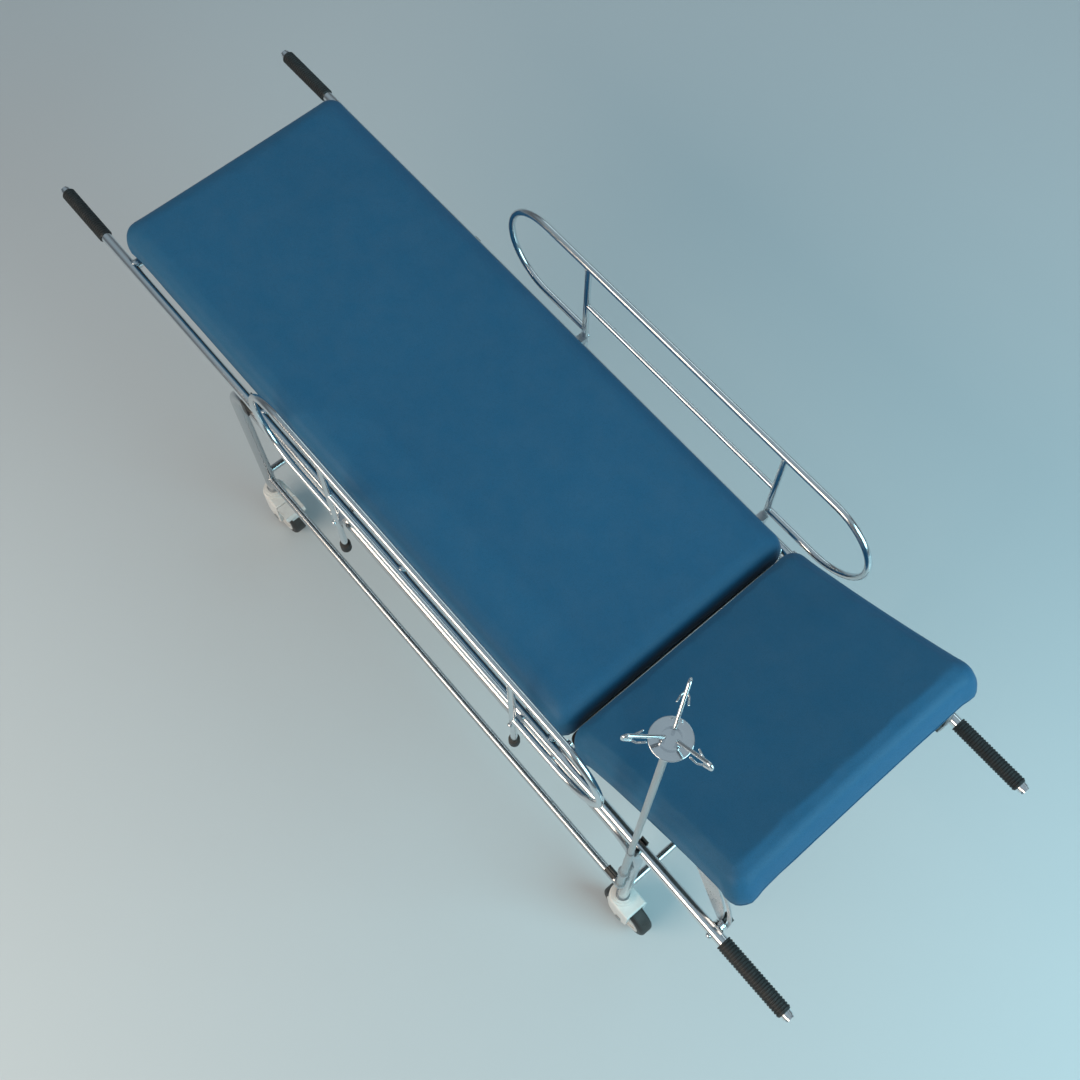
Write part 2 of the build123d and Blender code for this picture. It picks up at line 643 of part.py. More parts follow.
def quadrant(side):
    """The slotted plate that hangs from the head board and runs past the clamp bolt."""
    r_out = CLAMP_RADIUS + QUADRANT_MARGIN
    sweep_angle = HEAD_ANGLE + HEAD_SPARE_ANGLE
    low = radians(sweep_angle + 3.5)
    mid = radians(sweep_angle / 2)
    corner_top = (sqrt(r_out ** 2 - BOARD_Z ** 2), BOARD_Z)
    corner_low = (r_out * cos(low), -r_out * sin(low))
    curved_edge = ThreePointArc(corner_top, (r_out * cos(mid), -r_out * sin(mid)), corner_low)
    rest = Polyline(corner_low, (QUADRANT_BACK, corner_low[1]), (QUADRANT_BACK, BOARD_Z), corner_top)
    outline = make_face([curved_edge, rest])
    slot_line = CenterArc((0, 0), CLAMP_RADIUS, -sweep_angle, sweep_angle)
    outline -= SlotArc(slot_line, CLAMP_BOLT_D + 8 * FIT)
    plate = plate_xz(outline, side * HEAD_PLATE_Y, side * PLATE_OUTER_Y)
    return plate + flange(QUADRANT_BACK, CLAMP_RADIUS - KNOB_D / 2 - KNOB_ROOM, side)


def clamp_knob(side):
    """A fluted knob on the inner end of a clamp bolt."""
    y0 = side * (HEAD_PLATE_Y - 2 * FIT)
    y1 = y0 - side * KNOB_T
    knob = rod_y(KNOB_D, y0, y1, CLAMP_X, LITTER_Z)
    for k in range(8):
        at_rim = Pos(CLAMP_X, (y0 + y1) / 2, LITTER_Z) * Rot(0, 45 * k, 0)
        at_rim *= Pos(KNOB_D / 2 + 1.2, 0, 0)
        knob -= at_rim * Rot(90, 0, 0) * Cylinder(2.4, KNOB_T + 2)
    return knob - rod_y(CLAMP_BOLT_D + 2 * FIT, y0, y1, CLAMP_X, LITTER_Z)


parts["head_board"] = raised(board(HEAD_BOARD_FROM_HINGE, HEAD_BOARD_FROM_HINGE + HEAD_BOARD_LENGTH,
                                   BOARD_Z))
parts["head_pad"] = raised(pad(HEAD_PAD_FROM_HINGE, HEAD_PAD_FROM_HINGE + HEAD_PAD_LENGTH,
                               BOARD_Z + DECK_T + REST_GAP))
parts["head_hinge_ears"] = both_sides(lambda side: raised(hinge_ear(side)))
parts["near_quadrant"] = raised(quadrant(-1))
parts["far_quadrant"] = raised(quadrant(1))
parts["near_clamp_knob"] = clamp_knob(-1)
parts["far_clamp_knob"] = clamp_knob(1)


# ---------------------------------------------------------------------- castors
# Each is drawn round its swivel axis at (0, 0), trailing towards +X.
CHEEK_Y = HOOD_CAVITY_W / 2
HOOD_INNER_R = WHEEL_R + HOOD_GAP


def caster_hood(braked):
    """The hood that holds the axle: round at the back, cut square in front."""
    half_w = HOOD_W / 2
    plan = Circle(half_w) + Pos(HOOD_FRONT / 2, 0) * Rectangle(HOOD_FRONT, HOOD_W)
    hood = extrude(plan, HOOD_TOP)
    side_view = make_face(Polyline(
        (-half_w - 1, HOOD_TOP), (HOOD_FRONT + 1, HOOD_TOP), (HOOD_FRONT + 1, WHEEL_R + 6),
        (TRAIL + 11, WHEEL_R - 13), (TRAIL - 11, WHEEL_R - 13), (-half_w - 1, WHEEL_R + 34),
        close=True))
    hood &= plate_xz(side_view, -half_w, half_w)
    hood = fillet(hood.faces().sort_by(Axis.Z)[-1].edges(), 5.0)
    for step_d, step_top in BOSS_STEPS:
        hood += rod_z(step_d, HOOD_TOP - 1, step_top, 0, 0)
    hood -= rod_y(2 * HOOD_INNER_R, -CHEEK_Y, CHEEK_Y, TRAIL, WHEEL_R)
    hood -= rod_z(STEM_D + 2 * FIT, WHEEL_R, HOOD_TOP + 20, 0, 0)
    hood -= rod_y(AXLE_D, -HOOD_W, HOOD_W, TRAIL, WHEEL_R)
    if braked:
        for s in (-1, 1):
            hood += brake_ear(s)
    return hood


def brake_ear(side):
    """An ear on the hood's front that carries one end of the pedal's pin."""
    x_pin, z_pin = PEDAL_PIN
    y0 = side * CHEEK_Y
    y1 = side * (CHEEK_Y + 5.0)
    ear = rod_y(14.0, y0, y1, x_pin, z_pin)
    ear += block(HOOD_FRONT - 2.0, x_pin, y0, y1, z_pin - 7.0, z_pin + 7.0)
    return ear - rod_y(PEDAL_PIN_D + 2 * FIT, y0, y1, x_pin, z_pin)


def brake_pedal():
    """A foot pedal level with the hood's top, with its own pin and a brake shoe."""
    x_pin, z_pin = PEDAL_PIN
    half_w = PEDAL_W / 2
    web_y = CHEEK_Y - PEDAL_GAP
    web_x = PEDAL_HUB_D / 2
    back = HOOD_FRONT + PEDAL_GAP
    bevel = PEDAL_REACH - PEDAL_DROP
    top = HOOD_TOP - 1.0
    low = top - PEDAL_T
    tread = make_face(Polyline(
        (back, top), (bevel, top), (PEDAL_REACH, top - PEDAL_DROP),
        (PEDAL_REACH, low - PEDAL_DROP), (bevel, low), (back, low),
        close=True))
    pedal = plate_xz(tread, -half_w, half_w)
    pedal = fillet(pedal.edges().filter_by(Axis.Z), 2.0)
    pedal += rod_y(PEDAL_PIN_D, -CHEEK_Y - 5.0, CHEEK_Y + 5.0, x_pin, z_pin)
    pedal += rod_y(PEDAL_HUB_D, -web_y, web_y, x_pin, z_pin)
    pedal += block(x_pin - web_x, x_pin + web_x, -web_y, web_y, z_pin, low + 1.0)
    shoe = block(x_pin + 8.0, x_pin + 24.0, -TYRE_W / 3, TYRE_W / 3, z_pin - 24.0, low + 1.0)
    shoe -= rod_y(WHEEL_D + 2 * SHOE_GAP, -TYRE_W, TYRE_W, TRAIL, WHEEL_R)
    return pedal + shoe


def caster_axle():
    """The axle bolt, with a flat head at each cheek."""
    reach = HOOD_W / 2
    axle = rod_y(AXLE_D, -reach, reach, TRAIL, WHEEL_R)
    for s in (-1, 1):
        axle += rod_y(AXLE_D + 6.0, s * reach, s * (reach + 2.5), TRAIL, WHEEL_R)
    return axle


def wheel_hub():
    """The wheel's centre, with a shallow round recess in each face."""
    half_w = HUB_W / 2
    hub = rod_y(HUB_D, -half_w, half_w, TRAIL, WHEEL_R)
    for s in (-1, 1):
        recess = rod_y(HUB_D - 16.0, s * half_w, s * (half_w - 4.0), TRAIL, WHEEL_R)
        recess -= rod_y(28.0, s * half_w, s * (half_w - 4.0), TRAIL, WHEEL_R)
        hub -= recess
    return hub - rod_y(AXLE_D + 2 * FIT, -half_w, half_w, TRAIL, WHEEL_R)


def tyre():
    """The tyre, with a rounded tread."""
    ring = rod_y(WHEEL_D, -TYRE_W / 2, TYRE_W / 2, TRAIL, WHEEL_R)
    ring = fillet(ring.edges().filter_by(GeomType.CIRCLE), TYRE_EDGE)
    return ring - rod_y(HUB_D, -TYRE_W, TYRE_W, TRAIL, WHEEL_R)


for end_x, end_name in ((LEG_FOOT_X, "foot"), (LEG_HEAD_X, "head")):
    for side, side_name in ((-1, "near"), (1, "far")):
        place = Pos(end_x, side * TROLLEY_Y, 0)
        corner = f"{end_name}_{side_name}"
        braked = end_x < 0
        parts[f"hood_{corner}"] = place * caster_hood(braked)
        parts[f"axle_{corner}"] = place * caster_axle()
        parts[f"hub_{corner}"] = place * wheel_hub()
        parts[f"tyre_{corner}"] = place * tyre()
        if braked:
            parts[f"pedal_{corner}"] = place * brake_pedal()

# ----------------------------------------------------------------------- export
os.makedirs("parts", exist_ok=True)
for name, shape in parts.items():
    export_step(Pos(0, -ORIGIN_Y, 0) * shape, f"parts/{name}.step")
print(len(parts), "nodes written")
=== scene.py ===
# %% [markdown]
# # Stretcher trolley
# This file dresses a stretcher trolley: a padded litter that lifts off a tube
# frame on four castors. Its hard pieces come finished in shape from a CAD model,
# so here they only get their finishes. The two pads come as plain blocks, and
# are made again as soft cushions. Lengths are in metres, +X is the head end.

import bmesh
import bpy
from math import atan2, cos, pi, radians, sin, sqrt
from mathutils import Matrix, Vector
from mathutils.bvhtree import BVHTree


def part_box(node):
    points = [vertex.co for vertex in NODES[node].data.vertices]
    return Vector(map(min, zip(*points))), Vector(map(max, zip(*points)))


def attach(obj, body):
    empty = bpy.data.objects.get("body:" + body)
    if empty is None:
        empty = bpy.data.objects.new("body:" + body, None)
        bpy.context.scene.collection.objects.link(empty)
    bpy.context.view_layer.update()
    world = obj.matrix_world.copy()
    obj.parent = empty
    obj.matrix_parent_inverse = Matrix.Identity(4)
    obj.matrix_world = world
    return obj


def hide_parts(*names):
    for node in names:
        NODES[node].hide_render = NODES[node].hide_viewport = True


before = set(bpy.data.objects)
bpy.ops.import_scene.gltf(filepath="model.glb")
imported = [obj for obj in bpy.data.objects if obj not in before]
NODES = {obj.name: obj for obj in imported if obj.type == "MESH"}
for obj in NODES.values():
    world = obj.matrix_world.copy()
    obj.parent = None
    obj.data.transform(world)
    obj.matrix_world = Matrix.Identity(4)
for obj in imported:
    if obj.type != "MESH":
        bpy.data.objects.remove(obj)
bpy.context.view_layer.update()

# %% [markdown]
# ## Round tubes that look round
# A CAD mesh arrives as flat facets with split corners. One way to smooth it is
# to make the mesh again, but a CAD mesh must stay as it is. So each node gets
# two modifiers instead: one welds the split corners, and one splits again only
# at real edges.

# %% Smooth the CAD nodes
SHARP_EDGE = radians(32)
SAME_CORNER = 0.00001


def smooth_node(node):
    """Shade a CAD node smooth, with its real edges kept sharp."""
    weld = node.modifiers.new("weld corners", "WELD")
    weld.merge_threshold = SAME_CORNER
    split = node.modifiers.new("keep real edges", "EDGE_SPLIT")
    split.split_angle = SHARP_EDGE
    node.data.polygons.foreach_set("use_smooth", [True] * len(node.data.polygons))


for node in NODES.values():
    smooth_node(node)
print("smoothed", len(NODES), "nodes;", sum(len(n.data.polygons) for n in NODES.values()), "faces")

# %% [markdown]
# ## Node groups that several finishes share
# Every finish here wears along its edges, gathers a little dust, and varies in
# tone. Each of these effects could be drawn again in every material. A node
# group is built once and placed with its own values, so one change reaches all.
# The groups put out only masks, values and heights. The shader stays outside.

# %% A helper for building groups
def new_group(name, inputs, outputs):
    """A shader group with float or vector inputs {name: default} and outputs."""
    group = bpy.data.node_groups.new(name, "ShaderNodeTree")
    for socket_name, default in inputs.items():
        kind = "NodeSocketVector" if isinstance(default, tuple) else "NodeSocketFloat"
        socket = group.interface.new_socket(socket_name, in_out="INPUT", socket_type=kind)
        socket.default_value = default
    for socket_name in outputs:
        group.interface.new_socket(socket_name, in_out="OUTPUT", socket_type="NodeSocketFloat")
    return group, group.nodes.new("NodeGroupInput"), group.nodes.new("NodeGroupOutput")


def put(tree, kind, settings=None, **inputs):
    """Add a node, set its settings, and fill its inputs by value or by link."""
    node = tree.nodes.new(kind)
    for name, value in (settings or {}).items():
        setattr(node, name, value)
    for name, value in inputs.items():
        key = int(name[1:]) if name[0] == "i" and name[1:].isdigit() else name.replace("_", " ")
        if isinstance(value, bpy.types.NodeSocket):
            tree.links.new(value, node.inputs[key])
        else:
            node.inputs[key].default_value = value
    return node


def sums(tree, operation, a, b, clamp=False):
    """One Math node: a and b are numbers or sockets. Returns its output."""
    return put(tree, "ShaderNodeMath", {"operation": operation, "use_clamp": clamp}, i0=a, i1=b).outputs[0]


def stretched(tree, low, high, value, new_low=0.0, new_high=1.0):
    """A Map Range node: low..high of value becomes new_low..new_high."""
    node = put(tree, "ShaderNodeMapRange", {"clamp": True}, i0=value, i1=low, i2=high,
               i3=new_low, i4=new_high)
    return node.outputs[0]


print("helpers ready")

# %% [markdown]
# ### Edge wear
# Hands, beds and door frames rub a trolley's outer edges first. The Bevel node
# bends the surface direction close to an edge, so where it differs from the
# true direction there is an edge. Noise breaks the line up, as real wear does.

# %% Group: edge wear
edge_wear, wear_in, wear_out = new_group(
    "edge wear", {"Width": 0.001, "Amount": 0.5, "Patches": 60.0}, ["Mask"])
bevelled = put(edge_wear, "ShaderNodeBevel", {"samples": 4}, Radius=wear_in.outputs["Width"])
true_face = put(edge_wear, "ShaderNodeNewGeometry")
likeness = put(edge_wear, "ShaderNodeVectorMath", {"operation": "DOT_PRODUCT"},
               i0=bevelled.outputs[0], i1=true_face.outputs["Normal"]).outputs["Value"]
edge = stretched(edge_wear, 0.995, 0.90, likeness)
place = put(edge_wear, "ShaderNodeTexCoord").outputs["Object"]
patches = put(edge_wear, "ShaderNodeTexNoise", {"noise_dimensions": "3D"}, Vector=place,
              Scale=wear_in.outputs["Patches"], Detail=4.0, Roughness=0.6).outputs[0]
broken = sums(edge_wear, "MULTIPLY", edge, stretched(edge_wear, 0.38, 0.62, patches))
edge_wear.links.new(sums(edge_wear, "MULTIPLY", broken, wear_in.outputs["Amount"], True),
                    wear_out.inputs["Mask"])
print("edge wear group has", len(edge_wear.nodes), "nodes")

# %% [markdown]
# ### Dust
# Dust settles on what faces up and stays longest where nobody wipes. The mask
# is the upward part of the surface direction, thinned by two sizes of noise.

# %% Group: dust
dust, dust_in, dust_out = new_group("dust", {"Amount": 0.3, "Scale": 25.0}, ["Mask"])
facing = put(dust, "ShaderNodeSeparateXYZ",
             Vector=put(dust, "ShaderNodeNewGeometry").outputs["Normal"]).outputs["Z"]
upward = stretched(dust, 0.1, 1.0, facing)
dust_place = put(dust, "ShaderNodeTexCoord").outputs["Object"]
clouds = put(dust, "ShaderNodeTexNoise", Vector=dust_place, Scale=dust_in.outputs["Scale"],
             Detail=6.0, Roughness=0.65).outputs[0]
settled = sums(dust, "MULTIPLY", upward, stretched(dust, 0.35, 0.75, clouds))
dust.links.new(sums(dust, "MULTIPLY", settled, dust_in.outputs["Amount"], True), dust_out.inputs["Mask"])
print("dust group has", len(dust.nodes), "nodes")

# %% [markdown]
# ### Polishing lines
# A polished stainless tube keeps very fine lines from the belt that polished
# it. Noise that is squeezed along one axis draws them. The Stretch input says
# how strongly each axis is squeezed, so each tube can have its own direction.

# %% Group: polishing lines
polish_lines, lines_in, lines_out = new_group(
    "polishing lines", {"Stretch": (40.0, 900.0, 900.0), "Smears": 9.0}, ["Lines", "Smear"])
lines_place = put(polish_lines, "ShaderNodeTexCoord").outputs["Object"]
squeezed = put(polish_lines, "ShaderNodeVectorMath", {"operation": "MULTIPLY"},
               i0=lines_place, i1=lines_in.outputs["Stretch"]).outputs["Vector"]
hairlines = put(polish_lines, "ShaderNodeTexNoise", Vector=squeezed, Scale=1.0, Detail=3.0,
                Roughness=0.7).outputs[0]
smears = put(polish_lines, "ShaderNodeTexNoise", Vector=lines_place, Scale=lines_in.outputs["Smears"],
             Detail=5.0, Roughness=0.6, Distortion=0.6).outputs[0]
polish_lines.links.new(hairlines, lines_out.inputs["Lines"])
polish_lines.links.new(stretched(polish_lines, 0.3, 0.7, smears), lines_out.inputs["Smear"])
print("polishing lines group has", len(polish_lines.nodes), "nodes")

# %% [markdown]
# ### Moulded and coated grain
# Coated cloth, rubber and moulded plastic share one thing: a grain of small
# rounded cells. Voronoi cells give it, and a finer noise roughens the cell tops.
# Only the cell size and depth differ from one finish to the next.

# %% Group: cell grain
cell_grain, grain_in, grain_out = new_group(
    "cell grain", {"Cells": 700.0, "Fine": 2500.0, "Wander": 0.35}, ["Height", "Tone"])
grain_place = put(cell_grain, "ShaderNodeTexCoord").outputs["Object"]
drift = put(cell_grain, "ShaderNodeTexNoise", Vector=grain_place, Scale=sums(
    cell_grain, "MULTIPLY", grain_in.outputs["Cells"], 0.25), Detail=2.0)
wander_vec = put(cell_grain, "ShaderNodeVectorMath", {"operation": "SCALE"},
                 i0=drift.outputs["Color"], Scale=sums(
                     cell_grain, "DIVIDE", grain_in.outputs["Wander"], grain_in.outputs["Cells"]))
wandered = put(cell_grain, "ShaderNodeVectorMath", {"operation": "ADD"},
               i0=grain_place, i1=wander_vec.outputs["Vector"]).outputs["Vector"]
cells = put(cell_grain, "ShaderNodeTexVoronoi", {"feature": "DISTANCE_TO_EDGE"}, Vector=wandered,
            Scale=grain_in.outputs["Cells"], Randomness=0.9).outputs["Distance"]
cell_tops = stretched(cell_grain, 0.0, 0.22, cells)
fine = put(cell_grain, "ShaderNodeTexNoise", Vector=grain_place, Scale=grain_in.outputs["Fine"],
           Detail=2.0, Roughness=0.5).outputs[0]
grain_height = sums(cell_grain, "ADD", sums(cell_grain, "MULTIPLY", cell_tops, 0.75),
                    sums(cell_grain, "MULTIPLY", fine, 0.25))
cell_grain.links.new(grain_height, grain_out.inputs["Height"])
cell_grain.links.new(cell_tops, grain_out.inputs["Tone"])
print("cell grain group has", len(cell_grain.nodes), "nodes")

# %% [markdown]
# ### Uneven tone
# No surface this large is one even colour. Slow noise gives broad patches, and
# the tone stays close to 1, so that it can multiply any colour.

# %% Group: uneven tone
uneven_tone, tone_in, tone_out = new_group("uneven tone", {"Scale": 4.0, "Spread": 0.15}, ["Factor"])
tone_place = put(uneven_tone, "ShaderNodeTexCoord").outputs["Object"]
slow = put(uneven_tone, "ShaderNodeTexNoise", Vector=tone_place, Scale=tone_in.outputs["Scale"],
           Detail=4.0, Roughness=0.55, Distortion=0.4).outputs[0]
centred = sums(uneven_tone, "MULTIPLY", sums(uneven_tone, "SUBTRACT", slow, 0.5), 2.0)
uneven_tone.links.new(sums(uneven_tone, "ADD", 1.0, sums(
    uneven_tone, "MULTIPLY", centred, tone_in.outputs["Spread"])), tone_out.inputs["Factor"])
print("uneven tone group has", len(uneven_tone.nodes), "nodes")


# %% [markdown]
# ## Finishes
# Each finish below starts from the same few steps: place a group, mix two
# colours by a mask, and turn a height into a bump. These helpers do one step
# each, so a finish reads as a short list of what the real surface shows.

# %% Helpers for finishes
def start_finish(name):
    """A new material with an empty Principled shader."""
    finish = bpy.data.materials.new(name)
    finish.use_nodes = True
    finish.node_tree.nodes.clear()
    shader = put(finish.node_tree, "ShaderNodeBsdfPrincipled")
    surface = put(finish.node_tree, "ShaderNodeOutputMaterial")
    finish.node_tree.links.new(shader.outputs[0], surface.inputs[0])
    return finish, finish.node_tree, shader


def place_group(tree, group, **values):
    """Put a shared group into a material with this finish's own values."""
    node = tree.nodes.new("ShaderNodeGroup")
    node.node_tree = group
    for name, value in values.items():
        node.inputs[name].default_value = value
    return node.outputs


def mixed(tree, mask, low, high):
    """Colour low where the mask is 0 and high where it is 1."""
    node = put(tree, "ShaderNodeMix", {"data_type": "RGBA"}, i0=mask)
    for socket, colour in ((node.inputs[6], low), (node.inputs[7], high)):
        if isinstance(colour, bpy.types.NodeSocket):
            tree.links.new(colour, socket)
        else:
            socket.default_value = (*colour, 1.0)
    return node.outputs[2]


def toned(tree, colour, factor):
    """A colour multiplied by a slowly varying factor."""
    node = put(tree, "ShaderNodeVectorMath", {"operation": "SCALE"}, Scale=factor)
    if isinstance(colour, bpy.types.NodeSocket):
        tree.links.new(colour, node.inputs[0])
    else:
        node.inputs[0].default_value = colour
    return node.outputs[0]


def bump(tree, shader, height, depth):
    """Raise and lower the surface by height, at most depth metres."""
    node = put(tree, "ShaderNodeBump", Strength=1.0, Distance=depth, Height=height)
    tree.links.new(node.outputs[0], shader.inputs["Normal"])


print("finish helpers ready")


# %% [markdown]
# ### Polished stainless tube
# The frame, the litter and the rails are stainless tube. Polished steel is a
# mirror that is slightly spoiled: hairlines along the tube, and smears that
# cleaning leaves. So the metal is even in colour, and only its roughness moves.

# %% Finish: stainless tube
DUST_ON_STEEL = (0.36, 0.35, 0.33)


def steel_finish(name, colour, roughness, stretch, dust_amount):
    """Polished steel with hairlines, cleaning smears and a little dust."""
    finish, tree, shader = start_finish(name)
    shader.inputs["Metallic"].default_value = 1.0
    lines = place_group(tree, polish_lines, Stretch=stretch, Smears=9.0)
    wear = place_group(tree, edge_wear, Width=0.0012, Amount=0.5, Patches=90.0)
    film = place_group(tree, dust, Amount=dust_amount, Scale=30.0)
    tone = place_group(tree, uneven_tone, Scale=7.0, Spread=0.05)
    base = toned(tree, colour, tone["Factor"])
    scuffed = mixed(tree, wear["Mask"], base, tuple(min(1.0, c * 1.18) for c in colour))
    filmed = mixed(tree, film["Mask"], scuffed, DUST_ON_STEEL)
    tree.links.new(filmed, shader.inputs["Base Color"])
    hair = stretched(tree, 0.3, 0.7, lines["Lines"], roughness * 0.75, roughness * 1.35)
    smeared = sums(tree, "ADD", hair, sums(tree, "MULTIPLY", lines["Smear"], 0.06))
    dull = sums(tree, "ADD", smeared, sums(tree, "MULTIPLY", film["Mask"], 0.35), True)
    tree.links.new(dull, shader.inputs["Roughness"])
    bump(tree, shader, lines["Lines"], 0.000012)
    return finish


# The litter and rail tubes get paler base colours than the frame tube, though all are the same stainless
# steel: a painted highlight for the brighter light that these upper tubes catch.
frame_steel = steel_finish("frame_steel", (0.58, 0.60, 0.62), 0.17, (500.0, 500.0, 500.0), 0.35)
litter_steel_painted_highlight = steel_finish("litter_steel_painted_highlight", (0.78, 0.81, 0.83), 0.13, (30.0, 900.0, 900.0), 0.10)
rail_steel_painted_highlight = steel_finish("rail_steel_painted_highlight", (0.70, 0.73, 0.75), 0.12, (60.0, 700.0, 700.0), 0.10)
plate_steel = steel_finish("plate_steel", (0.55, 0.56, 0.58), 0.27, (900.0, 200.0, 60.0), 0.25)
turned_steel = steel_finish("turned_steel", (0.50, 0.51, 0.52), 0.24, (900.0, 900.0, 900.0), 0.4)
print("steel finishes:", frame_steel.name, litter_steel_painted_highlight.name, rail_steel_painted_highlight.name, plate_steel.name)

# %% [markdown]
# ### Bright plate and satin pole
# The hooks, end plugs and bolt heads are plated, so they are brighter and
# smoother than the tubes. The infusion pole is the opposite: satin, and its
# fine lines run along it, so the stretch is small on Z only.

# %% Finish: bright plate and satin pole
bright_plate = steel_finish("bright_plate", (0.76, 0.78, 0.80), 0.06, (300.0, 300.0, 300.0), 0.10)
satin_pole = steel_finish("satin_pole", (0.52, 0.54, 0.55), 0.36, (1200.0, 1200.0, 25.0), 0.10)
print("plated finishes:", bright_plate.name, satin_pole.name)


# %% [markdown]
# ### Moulded plastic
# The knobs and cradles are black plastic. The castor hoods and pedals are white.
# Both come from a mould with a fine texture, so they take the same steps: a cell
# grain, edges rubbed paler or greyer, and dust on top.

# %% Finish: moulded plastic
DUST_ON_PLASTIC = (0.33, 0.31, 0.28)


def moulded_finish(name, colour, rubbed, roughness, cells, depth, wear_amount, dust_amount):
    """Moulded plastic or rubber with a cell grain, rubbed edges and dust."""
    finish, tree, shader = start_finish(name)
    grain = place_group(tree, cell_grain, Cells=cells, Fine=cells * 3.0, Wander=0.4)
    wear = place_group(tree, edge_wear, Width=0.0015, Amount=wear_amount, Patches=70.0)
    film = place_group(tree, dust, Amount=dust_amount, Scale=40.0)
    tone = place_group(tree, uneven_tone, Scale=12.0, Spread=0.10)
    base = toned(tree, colour, tone["Factor"])
    worn = mixed(tree, wear["Mask"], base, rubbed)
    dusty = mixed(tree, film["Mask"], worn, DUST_ON_PLASTIC)
    tree.links.new(dusty, shader.inputs["Base Color"])
    tops = stretched(tree, 0.0, 1.0, grain["Tone"], roughness * 1.12, roughness * 0.92)
    rubbed_smooth = sums(tree, "SUBTRACT", tops, sums(tree, "MULTIPLY", wear["Mask"], 0.12))
    dull = sums(tree, "ADD", rubbed_smooth, sums(tree, "MULTIPLY", film["Mask"], 0.3), True)
    tree.links.new(dull, shader.inputs["Roughness"])
    bump(tree, shader, grain["Height"], depth)
    return finish


black_moulding = moulded_finish("black_moulding", (0.018, 0.019, 0.021), (0.09, 0.09, 0.09),
                                0.42, 1500.0, 0.00006, 0.6, 0.25)
white_hood = moulded_finish("white_hood", (0.76, 0.77, 0.76), (0.60, 0.59, 0.56),
                            0.34, 1200.0, 0.00004, 0.5, 0.22)
pale_hub = moulded_finish("pale_hub", (0.66, 0.68, 0.68), (0.48, 0.47, 0.45),
                          0.40, 1200.0, 0.00005, 0.6, 0.30)
pedal_white = moulded_finish("pedal_white", (0.72, 0.74, 0.74), (0.50, 0.49, 0.47),
                             0.38, 1100.0, 0.00008, 0.9, 0.30)
print("moulded finishes:", black_moulding.name, white_hood.name, pale_hub.name, pedal_white.name)

# %% [markdown]
# ### Rubber
# The grips, the litter's feet and the tyres are black rubber. Rubber is duller
# than plastic and greys where it is handled. The tyres differ most: their tread
# picks up floor dust all the way round, so the mask there is how little the
# surface faces sideways, instead of how far it faces up.

# %% Finish: grips, feet and tyres
grip_rubber = moulded_finish("grip_rubber", (0.011, 0.014, 0.016), (0.045, 0.050, 0.052),
                             0.46, 1800.0, 0.00007, 0.5, 0.06)
foot_rubber = moulded_finish("foot_rubber", (0.015, 0.015, 0.016), (0.08, 0.078, 0.075),
                             0.62, 1500.0, 0.00008, 0.8, 0.30)
RIB_PITCH = 0.0034


def tyre_finish():
    """Tyre rubber whose tread is dusty and finely ribbed."""
    finish, tree, shader = start_finish("tyre_rubber")
    geometry = put(tree, "ShaderNodeNewGeometry")
    sideways = put(tree, "ShaderNodeSeparateXYZ", Vector=geometry.outputs["Normal"]).outputs["Y"]
    flat = put(tree, "ShaderNodeMath", {"operation": "ABSOLUTE"}, i0=sideways).outputs[0]
    tread = stretched(tree, 0.75, 0.25, flat)
    position = put(tree, "ShaderNodeTexCoord").outputs["Object"]
    across = put(tree, "ShaderNodeSeparateXYZ", Vector=position).outputs["Y"]
    rib_wave = sums(tree, "SINE", sums(tree, "MULTIPLY", across, 2 * pi / RIB_PITCH), 0.0)
    ribs = sums(tree, "MULTIPLY", stretched(tree, -0.2, 0.6, rib_wave), tread)
    grain = place_group(tree, cell_grain, Cells=1400.0, Fine=4000.0, Wander=0.5)
    film = put(tree, "ShaderNodeTexNoise", Vector=position, Scale=45.0, Detail=6.0, Roughness=0.7).outputs[0]
    dusty = sums(tree, "MULTIPLY", tread, stretched(tree, 0.3, 0.8, film, 0.02, 0.24), True)
    wear = place_group(tree, edge_wear, Width=0.002, Amount=0.5, Patches=60.0)
    base = mixed(tree, wear["Mask"], (0.020, 0.020, 0.021), (0.07, 0.07, 0.068))
    tree.links.new(mixed(tree, dusty, base, (0.16, 0.15, 0.135)), shader.inputs["Base Color"])
    tree.links.new(stretched(tree, 0.0, 1.0, dusty, 0.52, 0.82), shader.inputs["Roughness"])
    height = sums(tree, "ADD", sums(tree, "MULTIPLY", ribs, 1.0),
                  sums(tree, "MULTIPLY", grain["Height"], 0.2))
    bump(tree, shader, height, 0.00025)
    return finish


tyre_rubber = tyre_finish()
print("rubber finishes:", grip_rubber.name, foot_rubber.name, tyre_rubber.name)


# %% [markdown]
# ### Plywood boards
# Under each pad lies a plywood board, coloured near black: painted shade, so that its edges vanish into the
# dark under the pads and in the gap between them. Its grain still shows as a slight change of tone and
# gloss: rings of a tree, cut lengthwise, are long wavering bands.

